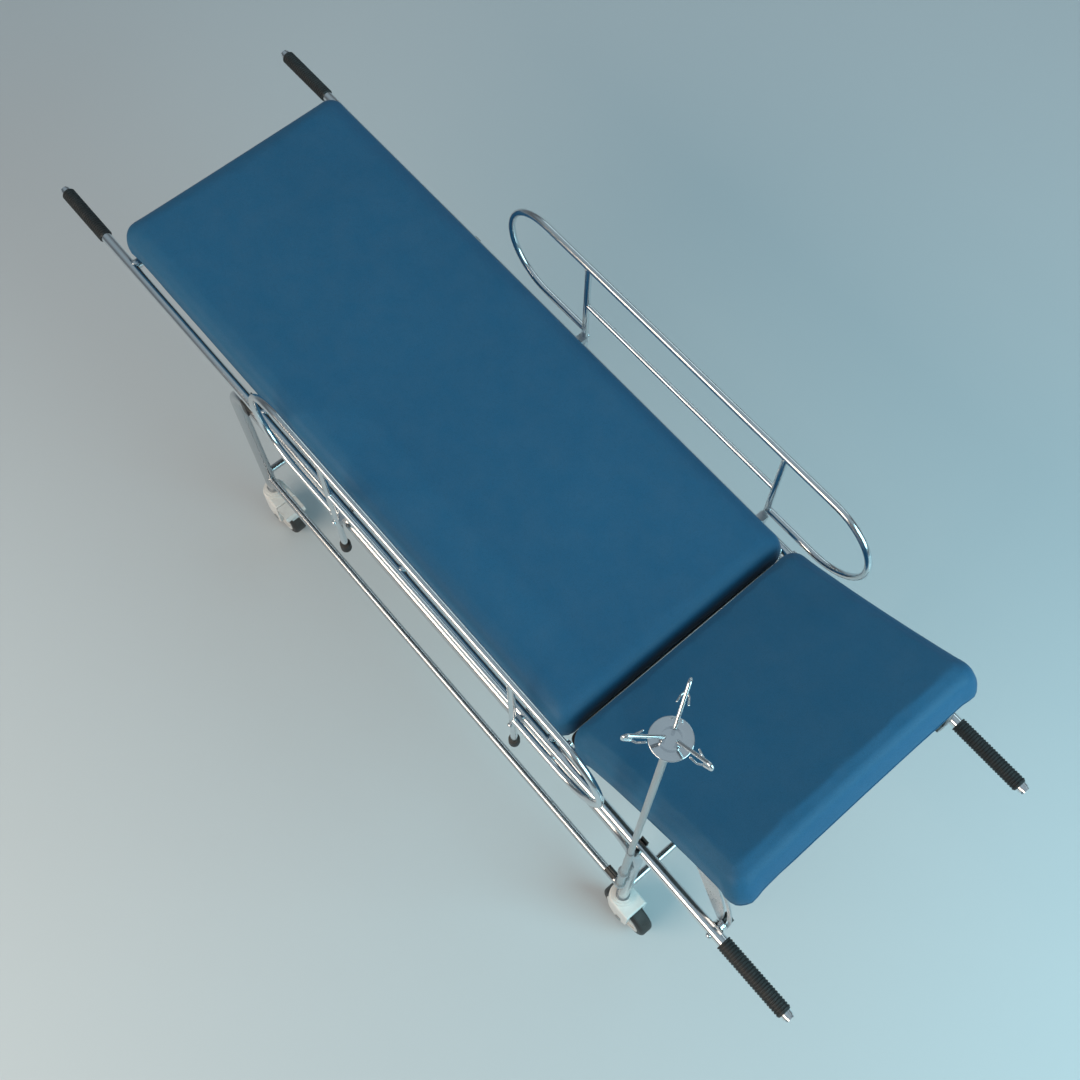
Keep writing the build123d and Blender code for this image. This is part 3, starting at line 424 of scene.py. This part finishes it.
# %% Finish: plywood
def plywood_finish():
    finish, tree, shader = start_finish("board_plywood_painted_shade")
    position = put(tree, "ShaderNodeTexCoord").outputs["Object"]
    along = put(tree, "ShaderNodeMapping", Vector=position, Scale=(0.9, 9.0, 9.0)).outputs[0]
    bands = put(tree, "ShaderNodeTexWave", {"bands_direction": "Y"}, Vector=along, Scale=1.4,
                Distortion=7.0, Detail=3.0, Detail_Scale=1.2).outputs[1]
    pores = put(tree, "ShaderNodeTexNoise", Scale=1.0, Detail=3.0, Vector=put(
        tree, "ShaderNodeMapping", Vector=position, Scale=(60.0, 1400.0, 1400.0)).outputs[0]).outputs[0]
    tone = place_group(tree, uneven_tone, Scale=3.0, Spread=0.18)
    # The near-black wood colours are painted shade, so the boards' edges sink into the dark under the pads.
    wood = mixed(tree, bands, (0.040, 0.037, 0.034), (0.024, 0.022, 0.020))
    pored = mixed(tree, stretched(tree, 0.55, 0.75, pores), wood, (0.012, 0.011, 0.010))
    tree.links.new(toned(tree, pored, tone["Factor"]), shader.inputs["Base Color"])
    tree.links.new(stretched(tree, 0.0, 1.0, pores, 0.38, 0.55), shader.inputs["Roughness"])
    bump(tree, shader, pores, 0.00006)
    return finish


board_plywood_painted_shade = plywood_finish()
print("board finish:", board_plywood_painted_shade.name)


# %% [markdown]
# ### Coated upholstery
# The pads wear a coated cloth: a thin coloured plastic skin with a pressed
# grain. It is close to smooth from afar, with a soft wide gleam, and its grain
# only shows near by. Broad pressure marks and fine creases keep it from looking
# like paint. Its sheen is low, because there are no loose threads.

# %% Finish: coated upholstery
DUST_ON_CLOTH = (0.30, 0.31, 0.31)


def pad_cover_finish(name, colour, roughness):
    """Coated cloth with pressed grain, faint creases and broad handling marks."""
    finish, tree, shader = start_finish(name)
    shader.inputs["Specular IOR Level"].default_value = 0.28
    shader.inputs["Sheen Weight"].default_value = 0.06
    shader.inputs["Sheen Roughness"].default_value = 0.4
    grain = place_group(tree, cell_grain, Cells=620.0, Fine=2200.0, Wander=0.6)
    tone = place_group(tree, uneven_tone, Scale=2.6, Spread=0.08)
    marks = place_group(tree, uneven_tone, Scale=11.0, Spread=0.03)
    film = place_group(tree, dust, Amount=0.04, Scale=18.0)
    wear = place_group(tree, edge_wear, Width=0.004, Amount=0.08, Patches=30.0)
    position = put(tree, "ShaderNodeTexCoord").outputs["Object"]
    crease = put(tree, "ShaderNodeTexNoise", Vector=position, Scale=14.0, Detail=5.0,
                 Roughness=0.6, Distortion=1.2).outputs[0]
    from_middle = sums(tree, "SUBTRACT", crease, 0.5)
    folded = stretched(tree, 0.0, 0.05, put(
        tree, "ShaderNodeMath", {"operation": "ABSOLUTE"}, i0=from_middle).outputs[0])
    # The grain's valleys are painted darker than its cell tops: painted shade in the pressed grain.
    valley_painted_shade = tuple(c * 0.78 for c in colour)
    skin = mixed(tree, grain["Tone"], valley_painted_shade, colour)
    toned_skin = toned(tree, toned(tree, skin, tone["Factor"]), marks["Factor"])
    rubbed = mixed(tree, wear["Mask"], toned_skin, tuple(min(1.0, c * 1.7 + 0.01) for c in colour))
    tree.links.new(mixed(tree, film["Mask"], rubbed, DUST_ON_CLOTH), shader.inputs["Base Color"])
    gleam = stretched(tree, 0.0, 1.0, grain["Tone"], roughness * 1.15, roughness)
    patchy = place_group(tree, uneven_tone, Scale=6.0, Spread=0.14)
    handled = sums(tree, "MULTIPLY", gleam, patchy["Factor"], True)
    tree.links.new(handled, shader.inputs["Roughness"])
    height = sums(tree, "ADD", sums(tree, "MULTIPLY", grain["Height"], 0.35),
                  sums(tree, "MULTIPLY", folded, 0.65))
    bump(tree, shader, height, 0.00016)
    return finish


pad_cover = pad_cover_finish("pad_cover", (0.017, 0.126, 0.256), 0.54)
pad_welt = pad_cover_finish("pad_welt", (0.012, 0.106, 0.216), 0.54)
print("cover finishes:", pad_cover.name, pad_welt.name)

# %% [markdown]
# ## Give every CAD node its finish
# The node names say what each piece is, so a short table from name to finish
# is enough. Anything the table misses would stay grey, so the cell counts.

# %% Assign the finishes
FINISH_OF = [
    (frame_steel, ("near_side_frame", "far_side_frame", "near_lower_tube", "far_lower_tube",
                   "foot_cross_tube", "head_cross_tube", "upper_cross_tubes", "cradle_posts")),
    (litter_steel_painted_highlight, ("near_litter_tube", "far_litter_tube", "litter_cross_tubes")),
    (rail_steel_painted_highlight, ("near_rail", "far_rail")),
    (satin_pole, ("iv_pole", "iv_outer_tube", "iv_clamp_rings")),
    (bright_plate, ("iv_hook_disc", "iv_hooks", "end_plugs", "rail_bolts", "hinge_bolts", "clamp_bolts")),
    (turned_steel, ("caster_stems", "axle_")),
    (plate_steel, ("rail_brackets", "head_hinge_ears", "near_quadrant", "far_quadrant")),
    (black_moulding, ("cradle_forks", "near_clamp_knob", "far_clamp_knob", "iv_clamp_knob")),
    (white_hood, ("hood_",)),
    (pale_hub, ("hub_",)),
    (tyre_rubber, ("tyre_",)),
    (grip_rubber, ("grip_",)),
    (foot_rubber, ("litter_feet",)),
    (pedal_white, ("pedal_",)),
    (board_plywood_painted_shade, ("body_deck", "head_board")),
    (pad_cover, ("body_pad", "head_pad")),
]
dressed = set()
for finish, names in FINISH_OF:
    for name, node in NODES.items():
        if name.startswith(names):
            node.data.materials.clear()
            node.data.materials.append(finish)
            dressed.add(name)
print(len(dressed), "nodes dressed, left over:", sorted(set(NODES) - dressed))

# %% [markdown]
# ## The pads
# Each pad is a block of foam in a tight cover. The cover pulls the edges into a
# soft roll, the top rises a little in the middle, and the sides draw in between
# the corners. That is what a cloth simulation gives: a closed skin, blown up
# gently with no gravity. The CAD block is copied and made slightly smaller, and
# the blown-up skin is stretched at the end to fill the block's own space again.

# %% Helpers for the pads
HINGE = Vector((0.515, 0.0, 0.686))
HEAD_ANGLE = radians(25)
UNRAISE = Matrix.Translation(HINGE) @ Matrix.Rotation(HEAD_ANGLE, 4, "Y") @ Matrix.Translation(-HINGE)


def copy_block(node_name, name, flatten):
    """A free copy of a CAD pad, laid flat by the flatten matrix."""
    node = NODES[node_name]
    copy = bpy.data.objects.new(name, node.data.copy())
    bpy.context.scene.collection.objects.link(copy)
    copy.data.transform(flatten)
    copy.data.materials.clear()
    return copy


def span(piece):
    """Lowest and highest corner of a mesh, from its own points."""
    points = [v.co for v in piece.data.vertices]
    low = Vector([min(p[k] for p in points) for k in range(3)])
    high = Vector([max(p[k] for p in points) for k in range(3)])
    return low, high


def even_skin(piece, voxel):
    """Give the block one even skin of small faces."""
    mesh = bmesh.new()
    mesh.from_mesh(piece.data)
    bmesh.ops.remove_doubles(mesh, verts=mesh.verts, dist=5 * SAME_CORNER)
    mesh.to_mesh(piece.data)
    mesh.free()
    remesh = piece.modifiers.new("even skin", "REMESH")
    remesh.mode = "VOXEL"
    remesh.voxel_size = voxel
    graph = bpy.context.evaluated_depsgraph_get()
    skin = bpy.data.meshes.new_from_object(piece.evaluated_get(graph))
    piece.modifiers.clear()
    piece.data = skin


def shrink(piece, by):
    """Draw the block in by a few millimetres on every side but its base."""
    low, high = span(piece)
    middle = (low + high) / 2
    size = high - low
    for v in piece.data.vertices:
        v.co.x = middle.x + (v.co.x - middle.x) * (1 - 2 * by.x / size.x)
        v.co.y = middle.y + (v.co.y - middle.y) * (1 - 2 * by.y / size.y)
        v.co.z = low.z + (v.co.z - low.z) * (1 - by.z / size.z)


print("pad helpers ready")


# %% [markdown]
# ### Blow up the cover
# The skin swells for twenty frames. Without a limit the flat top would balloon,
# so no point may move further than the cap. The foam inside resists too: a point
# may move out freely, but only a millimetre inwards, so the corners stay filled.

# %% Helper: blow up the cover
SWELL_FRAMES = 20


def blow_up(piece, cap, pressure=4.0, give=0.001):
    """Run the cloth simulation and keep its result in the mesh, held by the foam."""
    rest = [v.co.copy() for v in piece.data.vertices]
    outward = [v.normal.copy() for v in piece.data.vertices]
    cloth = piece.modifiers.new("cover", "CLOTH")
    cloth.settings.use_pressure = True
    cloth.settings.uniform_pressure_force = pressure
    cloth.settings.effector_weights.gravity = 0.0
    cloth.settings.tension_stiffness = 40.0
    cloth.settings.compression_stiffness = 40.0
    cloth.settings.bending_stiffness = 2.0
    cloth.point_cache.frame_start = 1
    cloth.point_cache.frame_end = SWELL_FRAMES
    scene = bpy.context.scene
    for frame_number in range(1, SWELL_FRAMES + 1):
        scene.frame_set(frame_number)
    graph = bpy.context.evaluated_depsgraph_get()
    blown = piece.evaluated_get(graph).data
    moved = []
    for v, old, normal in zip(blown.vertices, rest, outward):
        step = v.co - old
        sunk = min(0.0, step.dot(normal) + give)
        step -= normal * sunk
        moved.append(old + step * min(1.0, cap / max(step.length, 1e-9)))
    piece.modifiers.clear()
    scene.frame_set(1)
    for v, place in zip(piece.data.vertices, moved):
        v.co = place
    return max((a - b).length for a, b in zip(moved, rest))


print("cover helper ready")


# %% [markdown]
# ### Shape what the cover does between its corners
# After the simulation the pad is crowned everywhere alike. A real cover is
# stretched over the foam's corners, so the sides draw in between them, and low
# down the corners stand out a little. The foam spreads where it lies on its
# board, so the sides are fullest near the base. Small tucks run down from each
# corner, where the cloth is gathered under the board.

# %% Helper: draw in the sides and tuck the corners
CORNER = 0.05
TUCKS = 14.0
TUCK_DEPTH = 0.0010
CORNER_STAND = 0.006
SIDE_SPREAD = 0.004
END_SPREAD = 0.003


def draw_in(piece, block_low, block_high, waist_x, waist_y, crown):
    """Waist the sides, crown the top, fill out the base and tuck the corners."""
    middle = (block_low + block_high) / 2
    half = (block_high - block_low) / 2
    for v in piece.data.vertices:
        u = (v.co.x - middle.x) / half.x
        w = (v.co.y - middle.y) / half.y
        lift = (v.co.z - block_low.z) / (2 * half.z)
        v.co.y -= waist_y * w * abs(w) ** 3 * max(0.0, 1 - u * u)
        v.co.x -= waist_x * u * abs(u) ** 3 * max(0.0, 1 - w * w)
        v.co.z += crown * max(0.0, lift) ** 2 * max(0.0, 1 - u ** 4) * max(0.0, 1 - w ** 4)
        spread = max(0.0, 1 - lift) ** 1.5
        v.co.y += SIDE_SPREAD * w * abs(w) ** 7 * spread
        v.co.x += END_SPREAD * u * abs(u) ** 15 * spread
        corner = Vector((abs(u) * half.x - half.x + CORNER, abs(w) * half.y - half.y + CORNER))
        if corner.x > 0 and corner.y > 0:
            around = atan2(corner.y, corner.x)
            reach = min(1.0, corner.length / CORNER)
            tuck = (0.5 - 0.5 * cos(around * TUCKS)) ** 2 * reach * max(0.0, 1 - lift * 1.25)
            outward = Vector((cos(around) * (1 if u > 0 else -1), sin(around) * (1 if w > 0 else -1)))
            stand = CORNER_STAND * sin(2 * around) * reach * min(1.0, 2 * spread)
            v.co.x += outward.x * (stand - tuck * TUCK_DEPTH)
            v.co.y += outward.y * (stand - tuck * TUCK_DEPTH)
    for v in piece.data.vertices:
        v.co.z = max(block_low.z, min(v.co.z, block_high.z + crown))


def fill_block(piece, low, high, over=(0.0, 0.002)):
    """Stretch the skin over the block's length and width, with a little over at the sides."""
    now_low, now_high = span(piece)
    for k in (0, 1):
        wanted = high[k] - low[k] + 2 * over[k]
        scale = wanted / (now_high[k] - now_low[k])
        for v in piece.data.vertices:
            v.co[k] = low[k] - over[k] + (v.co[k] - now_low[k]) * scale


def relax(piece, rounds, strength=0.4):
    """Smooth the skin a little, to take out the ripples of the even skin."""
    smooth = piece.modifiers.new("relax", "SMOOTH")
    smooth.factor = strength
    smooth.iterations = rounds
    graph = bpy.context.evaluated_depsgraph_get()
    mesh = bpy.data.meshes.new_from_object(piece.evaluated_get(graph))
    piece.modifiers.clear()
    piece.data = mesh


print("shaping helpers ready")


# %% [markdown]
# ### Make both pads
# The body pad is long, so its skin has slightly larger faces. The head pad is
# laid flat for the work and raised again at the end with the same turn that the
# hinge has.

# %% Build the two pads
CROWN = 0.003
DRAWN_IN = Vector((0.0015, 0.0015, 0.002))
SWELL_CAP = 0.005


def make_pad(node_name, name, body, flatten, voxel, waist_x, waist_y):
    """One pad, from its CAD block to a finished soft piece on its body."""
    pad = copy_block(node_name, name, flatten)
    low, high = span(pad)
    even_skin(pad, voxel)
    shrink(pad, DRAWN_IN)
    reach = blow_up(pad, cap=SWELL_CAP)
    relax(pad, 3)
    draw_in(pad, low, high, waist_x, waist_y, crown=CROWN)
    relax(pad, 2, 0.3)
    fill_block(pad, low, high)
    for v in pad.data.vertices:
        v.co.z = max(low.z, v.co.z)
    pad.data.transform(flatten.inverted())
    pad.data.polygons.foreach_set("use_smooth", [True] * len(pad.data.polygons))
    finer = pad.modifiers.new("finer skin", "SUBSURF")
    finer.levels = 1
    finer.render_levels = 1
    pad.data.materials.append(pad_cover)
    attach(pad, body)
    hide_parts(node_name)
    print(name, "has", len(pad.data.polygons), "faces; the cover moved", round(reach * 1000, 1), "mm")
    return pad


body_cushion = make_pad("body_pad", "body_cushion", "litter", Matrix.Identity(4),
                        voxel=0.007, waist_x=0.002, waist_y=0.001)
head_cushion = make_pad("head_pad", "head_cushion", "head_section", UNRAISE,
                        voxel=0.006, waist_x=0.002, waist_y=0.006)


# %% [markdown]
# ### Welt round each pad
# Where the cover turns under, it is closed by a welt: a thin cord in its own
# strip of cloth. The cord could be a curve at a fixed place, but the pad's side
# is no longer straight. So rays from outside find the pad's side at the welt's
# height, and the cord follows those points.

# %% Helper: a cord that follows points
ASKEW = Vector((0.13, 0.21, 1.0))


def round_cord(name, points, radius, sides=8):
    """A mesh tube round a closed line of points. The radius is a number or one for each point."""
    mesh = bmesh.new()
    rings = []
    count = len(points)
    for k, point in enumerate(points):
        ahead = (points[(k + 1) % count] - points[k - 1]).normalized()
        across = ahead.cross(ASKEW).normalized()
        up = across.cross(ahead).normalized()
        size = radius[k] if isinstance(radius, list) else radius
        ring = [mesh.verts.new(point + (across * cos(a) + up * sin(a)) * size)
                for a in (2 * pi * j / sides for j in range(sides))]
        rings.append(ring)
    for ring, following in zip(rings, rings[1:] + [rings[0]]):
        for j in range(sides):
            j2 = (j + 1) % sides
            mesh.faces.new((ring[j], ring[j2], following[j2], following[j]))
    bmesh.ops.recalc_face_normals(mesh, faces=mesh.faces)
    data = bpy.data.meshes.new(name)
    mesh.to_mesh(data)
    mesh.free()
    data.polygons.foreach_set("use_smooth", [True] * len(data.polygons))
    cord = bpy.data.objects.new(name, data)
    bpy.context.scene.collection.objects.link(cord)
    return cord


print("cord helper ready")


# %% [markdown]
# The rays come from outside, aimed at a smaller rectangle inside the pad, so
# they spread round the corners. Each hit becomes a point of the cord.

# %% Sew the welts
WELT_HEIGHT = 0.006
AIM_INSET = 0.06
LEAST_STEP = 0.002


def sew_welt(pad, name, body, flatten, height, radius=0.0012, steps=260):
    """A welt round the pad's side, height metres above its base."""
    flat = bmesh.new()
    flat.from_mesh(pad.data)
    bmesh.ops.transform(flat, matrix=flatten, verts=flat.verts)
    tree = BVHTree.FromBMesh(flat)
    xs = [v.co.x for v in flat.verts]
    ys = [v.co.y for v in flat.verts]
    low_z = min(v.co.z for v in flat.verts)
    flat.free()
    middle = Vector(((min(xs) + max(xs)) / 2, (min(ys) + max(ys)) / 2, low_z + height))
    half_x = (max(xs) - min(xs)) / 2
    half_y = (max(ys) - min(ys)) / 2
    lap = 4 * (half_x + half_y)
    points = []
    for k in range(steps):
        way = lap * k / steps
        corners = [(half_x, half_y), (-half_x, half_y), (-half_x, -half_y), (half_x, -half_y)]
        sides = [2 * half_x, 2 * half_y, 2 * half_x, 2 * half_y]
        side = 0
        while way > sides[side] and side < 3:
            way -= sides[side]
            side += 1
        a, b = Vector(corners[side]), Vector(corners[(side + 1) % 4])
        spot = a.lerp(b, way / sides[side])
        inner = Vector((max(AIM_INSET - half_x, min(half_x - AIM_INSET, spot.x)),
                        max(AIM_INSET - half_y, min(half_y - AIM_INSET, spot.y))))
        aim = (spot - inner).normalized()
        origin = middle + Vector((inner.x + aim.x * 0.2, inner.y + aim.y * 0.2, 0))
        hit = tree.ray_cast(origin, Vector((-aim.x, -aim.y, 0)), 0.3)[0]
        if hit is not None and (not points or (hit - points[-1]).length > LEAST_STEP):
            points.append(hit)
    back = flatten.inverted()
    welt = round_cord(name, [back @ p for p in points], radius)
    welt.data.materials.append(pad_welt)
    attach(welt, body)
    print(name, "follows", len(points), "points")
    return welt


sew_welt(body_cushion, "body_welt", "litter", Matrix.Identity(4), WELT_HEIGHT)
sew_welt(head_cushion, "head_welt", "head_section", UNRAISE, WELT_HEIGHT, steps=160)


# %% [markdown]
# ## Weld beads
# Every tube joint on the real trolley has a small rounded bead where the two
# tubes were welded. Left out, the tubes would seem to pass through each other.
# The line where a thin round tube meets a thicker one has a simple formula, so
# a cord is run along it, and its thickness ripples as a weld does.

# %% Helper: one weld bead
RIPPLE = 0.18
RIPPLES = 9


def bead_points(foot, away, host_axis, thin, thick, steps=40):
    """Points round a thin tube where it meets the thick tube that it stands on."""
    away = Vector(away).normalized()
    u = Vector(host_axis).normalized()
    v = away.cross(u).normalized()
    points = []
    for k in range(steps):
        a = 2 * pi * k / steps
        beside = thin * sin(a)
        rise = sqrt(max(0.0, thick * thick - beside * beside))
        points.append(Vector(foot) + u * (thin * cos(a)) + v * beside + away * rise)
    return points


def lay_beads(name, body, joints, finish, bead):
    """All beads of one piece, in one mesh. Each joint is (foot, away, axis, thin, thick)."""
    made = []
    for joint in joints:
        points = bead_points(*joint)
        sizes = [bead * (1 + RIPPLE * sin(RIPPLES * 2 * pi * k / len(points))) for k in range(len(points))]
        made.append(round_cord(name, points, sizes, 6))
    first = made[0]
    mesh = bmesh.new()
    for cord in made:
        mesh.from_mesh(cord.data)
    mesh.to_mesh(first.data)
    mesh.free()
    first.data.polygons.foreach_set("use_smooth", [True] * len(first.data.polygons))
    for cord in made[1:]:
        bpy.data.objects.remove(cord)
    first.data.materials.clear()
    first.data.materials.append(finish)
    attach(first, body)
    return first


print("bead helper ready")

# %% [markdown]
# ### Where the tubes meet
# A tube's middle line runs halfway between the sides of its CAD node's box, so
# most places are read from those boxes. The few heights and lengths that no box
# gives are named here. Each joint says where the thin tube ends, which way it
# leaves, along which axis the thick tube runs, and both radii.

# %% Weld the rails and the frame
X, Y, Z = Vector((1, 0, 0)), Vector((0, 1, 0)), Vector((0, 0, 1))
RAIL_R = 0.007
RAIL_POST_R = 0.00675
RAIL_POST_X = 0.261
MIDDLE_BAR_Z, MIDDLE_BAR_R = 0.803, 0.0055
LOW_BAR_Z, LOW_BAR_R, LOW_POST_R = 0.716, 0.0067, 0.0068
LEG_R, LOWER_TUBE_R, CROSS_TUBE_R, UPPER_CROSS_R = 0.0125, 0.009, 0.008, 0.010
UPPER_CROSS_X = (-0.300, 0.420)
LITTER_R, LITTER_CROSS_R = 0.011, 0.0108
LITTER_CROSS_X = (-0.840, -0.380, 0.060, 0.488)


def middle_of(node_name):
    """The middle of a CAD node's box."""
    low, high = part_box(node_name)
    return (low + high) / 2


def rail_joints(side):
    """Top tube on both posts, then the middle bar and the lower loop."""
    middle = middle_of(f"{side}_rail")
    top_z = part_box(f"{side}_rail")[1].z - RAIL_R
    posts = [middle.x - RAIL_POST_X, middle.x + RAIL_POST_X]
    joints = [((post_x, middle.y, top_z), -Z, X, RAIL_POST_R, RAIL_R) for post_x in posts]
    for post_x, inwards in zip(posts, (X, -X)):
        joints.append(((post_x, middle.y, MIDDLE_BAR_Z), inwards, Z, MIDDLE_BAR_R, RAIL_POST_R))
    for post_x, outwards in zip(posts, (-X, X)):
        joints.append(((post_x, middle.y, LOW_BAR_Z), outwards, Z, LOW_BAR_R, LOW_POST_R))
    return joints


def frame_joints(side, inward):
    """Lower tubes and cross tubes on the two legs, and the upper cross tubes."""
    low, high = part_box(f"{side}_side_frame")
    side_y = (low.y + high.y) / 2
    legs = [low.x + LEG_R, high.x - LEG_R]
    lower_z = middle_of(f"{side}_lower_tube").z
    cross_z = middle_of("foot_cross_tube").z
    joints = [((leg_x, side_y, lower_z), along, Z, LOWER_TUBE_R, LEG_R)
              for leg_x, along in zip(legs, (X, -X))]
    joints += [((leg_x, side_y, cross_z), inward, Z, CROSS_TUBE_R, LEG_R) for leg_x in legs]
    joints += [((cross_x, side_y, high.z - LEG_R), inward, X, UPPER_CROSS_R, LEG_R)
               for cross_x in UPPER_CROSS_X]
    return joints


def litter_joints(side, inward):
    """The litter's cross tubes on its side tube."""
    tube = middle_of(f"{side}_litter_tube")
    return [((cross_x, tube.y, tube.z), inward, X, LITTER_CROSS_R, LITTER_R)
            for cross_x in LITTER_CROSS_X]


weld_count = 0
for side, inward in (("near", Y), ("far", -Y)):
    for part, body, joints, finish, slot_name, bead in (
            ("rail", "litter", rail_joints(side), rail_steel_painted_highlight, "rail_tube", 0.0011),
            ("frame", "trolley", frame_joints(side, inward), frame_steel, "frame_tube", 0.0014),
            ("litter", "litter", litter_joints(side, inward), litter_steel_painted_highlight, "litter_tube", 0.0013)):
        lay_beads(f"{side}_{part}_welds", body, joints, finish, bead)
        weld_count += len(joints)
print(weld_count, "weld beads laid")

# %% [markdown]
# ## Floor, light and camera
# A pale floor and large soft lights suit polished steel: the tubes need something
# bright and wide to reflect, and something dark beside it. So the plain room
# fades from pale at the floor to darker at eye height, and is brightest above.

# %% The floor
def studio_floor():
    finish, tree, shader = start_finish("studio_floor")
    tone = place_group(tree, uneven_tone, Scale=0.6, Spread=0.02)
    tree.links.new(toned(tree, (0.56, 0.60, 0.63), tone["Factor"]), shader.inputs["Base Color"])
    shader.inputs["Roughness"].default_value = 0.75
    bpy.ops.mesh.primitive_plane_add(size=40, location=(0, 0, 0))
    floor = bpy.context.object
    floor.name = "floor"
    floor.data.materials.append(finish)
    return floor


studio_floor()
print("floor laid")


# %% [markdown]
# ### The lights
# A cool light stands low at the head end, a warm one at the near side, and a
# weak one behind. The light thins out over the floor, so the floor is bluish by
# the head end, warm at the near side and darker towards the foot end.

# %% The lights
def soft_light(name, place, aim, size, power, colour):
    """A square soft light at place that points at aim."""
    lamp = bpy.data.lights.new(name, "AREA")
    lamp.shape = "RECTANGLE"
    lamp.size, lamp.size_y = size
    lamp.energy = power
    lamp.color = colour
    light = bpy.data.objects.new(name, lamp)
    bpy.context.scene.collection.objects.link(light)
    light.location = place
    light.rotation_euler = (Vector(aim) - Vector(place)).to_track_quat("-Z", "Y").to_euler()
    return light


soft_light("cool_light", (3.3, 0.9, 2.2), (0.7, 0, 0.5), (2.4, 2.4), 97, (0.48, 0.91, 1.0))
soft_light("warm_light", (-0.2, -3.3, 2.5), (-0.1, 0, 0.3), (3.4, 1.8), 102, (1.0, 0.84, 0.68))
soft_light("back_light", (-0.6, 3.4, 2.6), (0.2, 0, 0.6), (4.0, 1.2), 20, (0.72, 0.94, 1.0))

room = bpy.data.worlds.new("room")
bpy.context.scene.world = room
room.use_nodes = True
room.node_tree.nodes.clear()
room_tree = room.node_tree
direction = put(room_tree, "ShaderNodeTexCoord").outputs["Generated"]
height = put(room_tree, "ShaderNodeSeparateXYZ", Vector=direction).outputs["Z"]
fade = put(room_tree, "ShaderNodeValToRGB", Fac=stretched(room_tree, -0.2, 1.0, height))
fade.color_ramp.elements[0].color = (0.52, 0.58, 0.62, 1)
fade.color_ramp.elements[1].color = (0.86, 1.08, 1.22, 1)
middle_stop = fade.color_ramp.elements.new(0.45)
middle_stop.color = (0.26, 0.30, 0.33, 1)
glow = put(room_tree, "ShaderNodeBackground", Color=fade.outputs[0], Strength=0.39)
room_tree.links.new(glow.outputs[0], put(room_tree, "ShaderNodeOutputWorld").inputs[0])
bpy.context.scene.view_settings.view_transform = "Standard"

# %% [markdown]
# ### The camera
# The camera looks down steeply from over the near head corner. Its lens has no
# blur, because the other views use the same camera.

# %% The camera
AZIMUTH = radians(49.5)
ELEVATION = radians(66.8)
lens = bpy.data.cameras.new("camera")
lens.sensor_width = 36.0
lens.lens = 44.1
lens.dof.use_dof = False
camera = bpy.data.objects.new("camera", lens)
bpy.context.scene.collection.objects.link(camera)
camera.location = (0.9337, -0.6658, 2.9940)
backwards = Vector((sin(AZIMUTH) * cos(ELEVATION), -cos(AZIMUTH) * cos(ELEVATION), sin(ELEVATION)))
camera.rotation_euler = (-backwards).to_track_quat("-Z", "Y").to_euler()
bpy.context.scene.camera = camera
print("camera at", [round(v, 3) for v in camera.location])
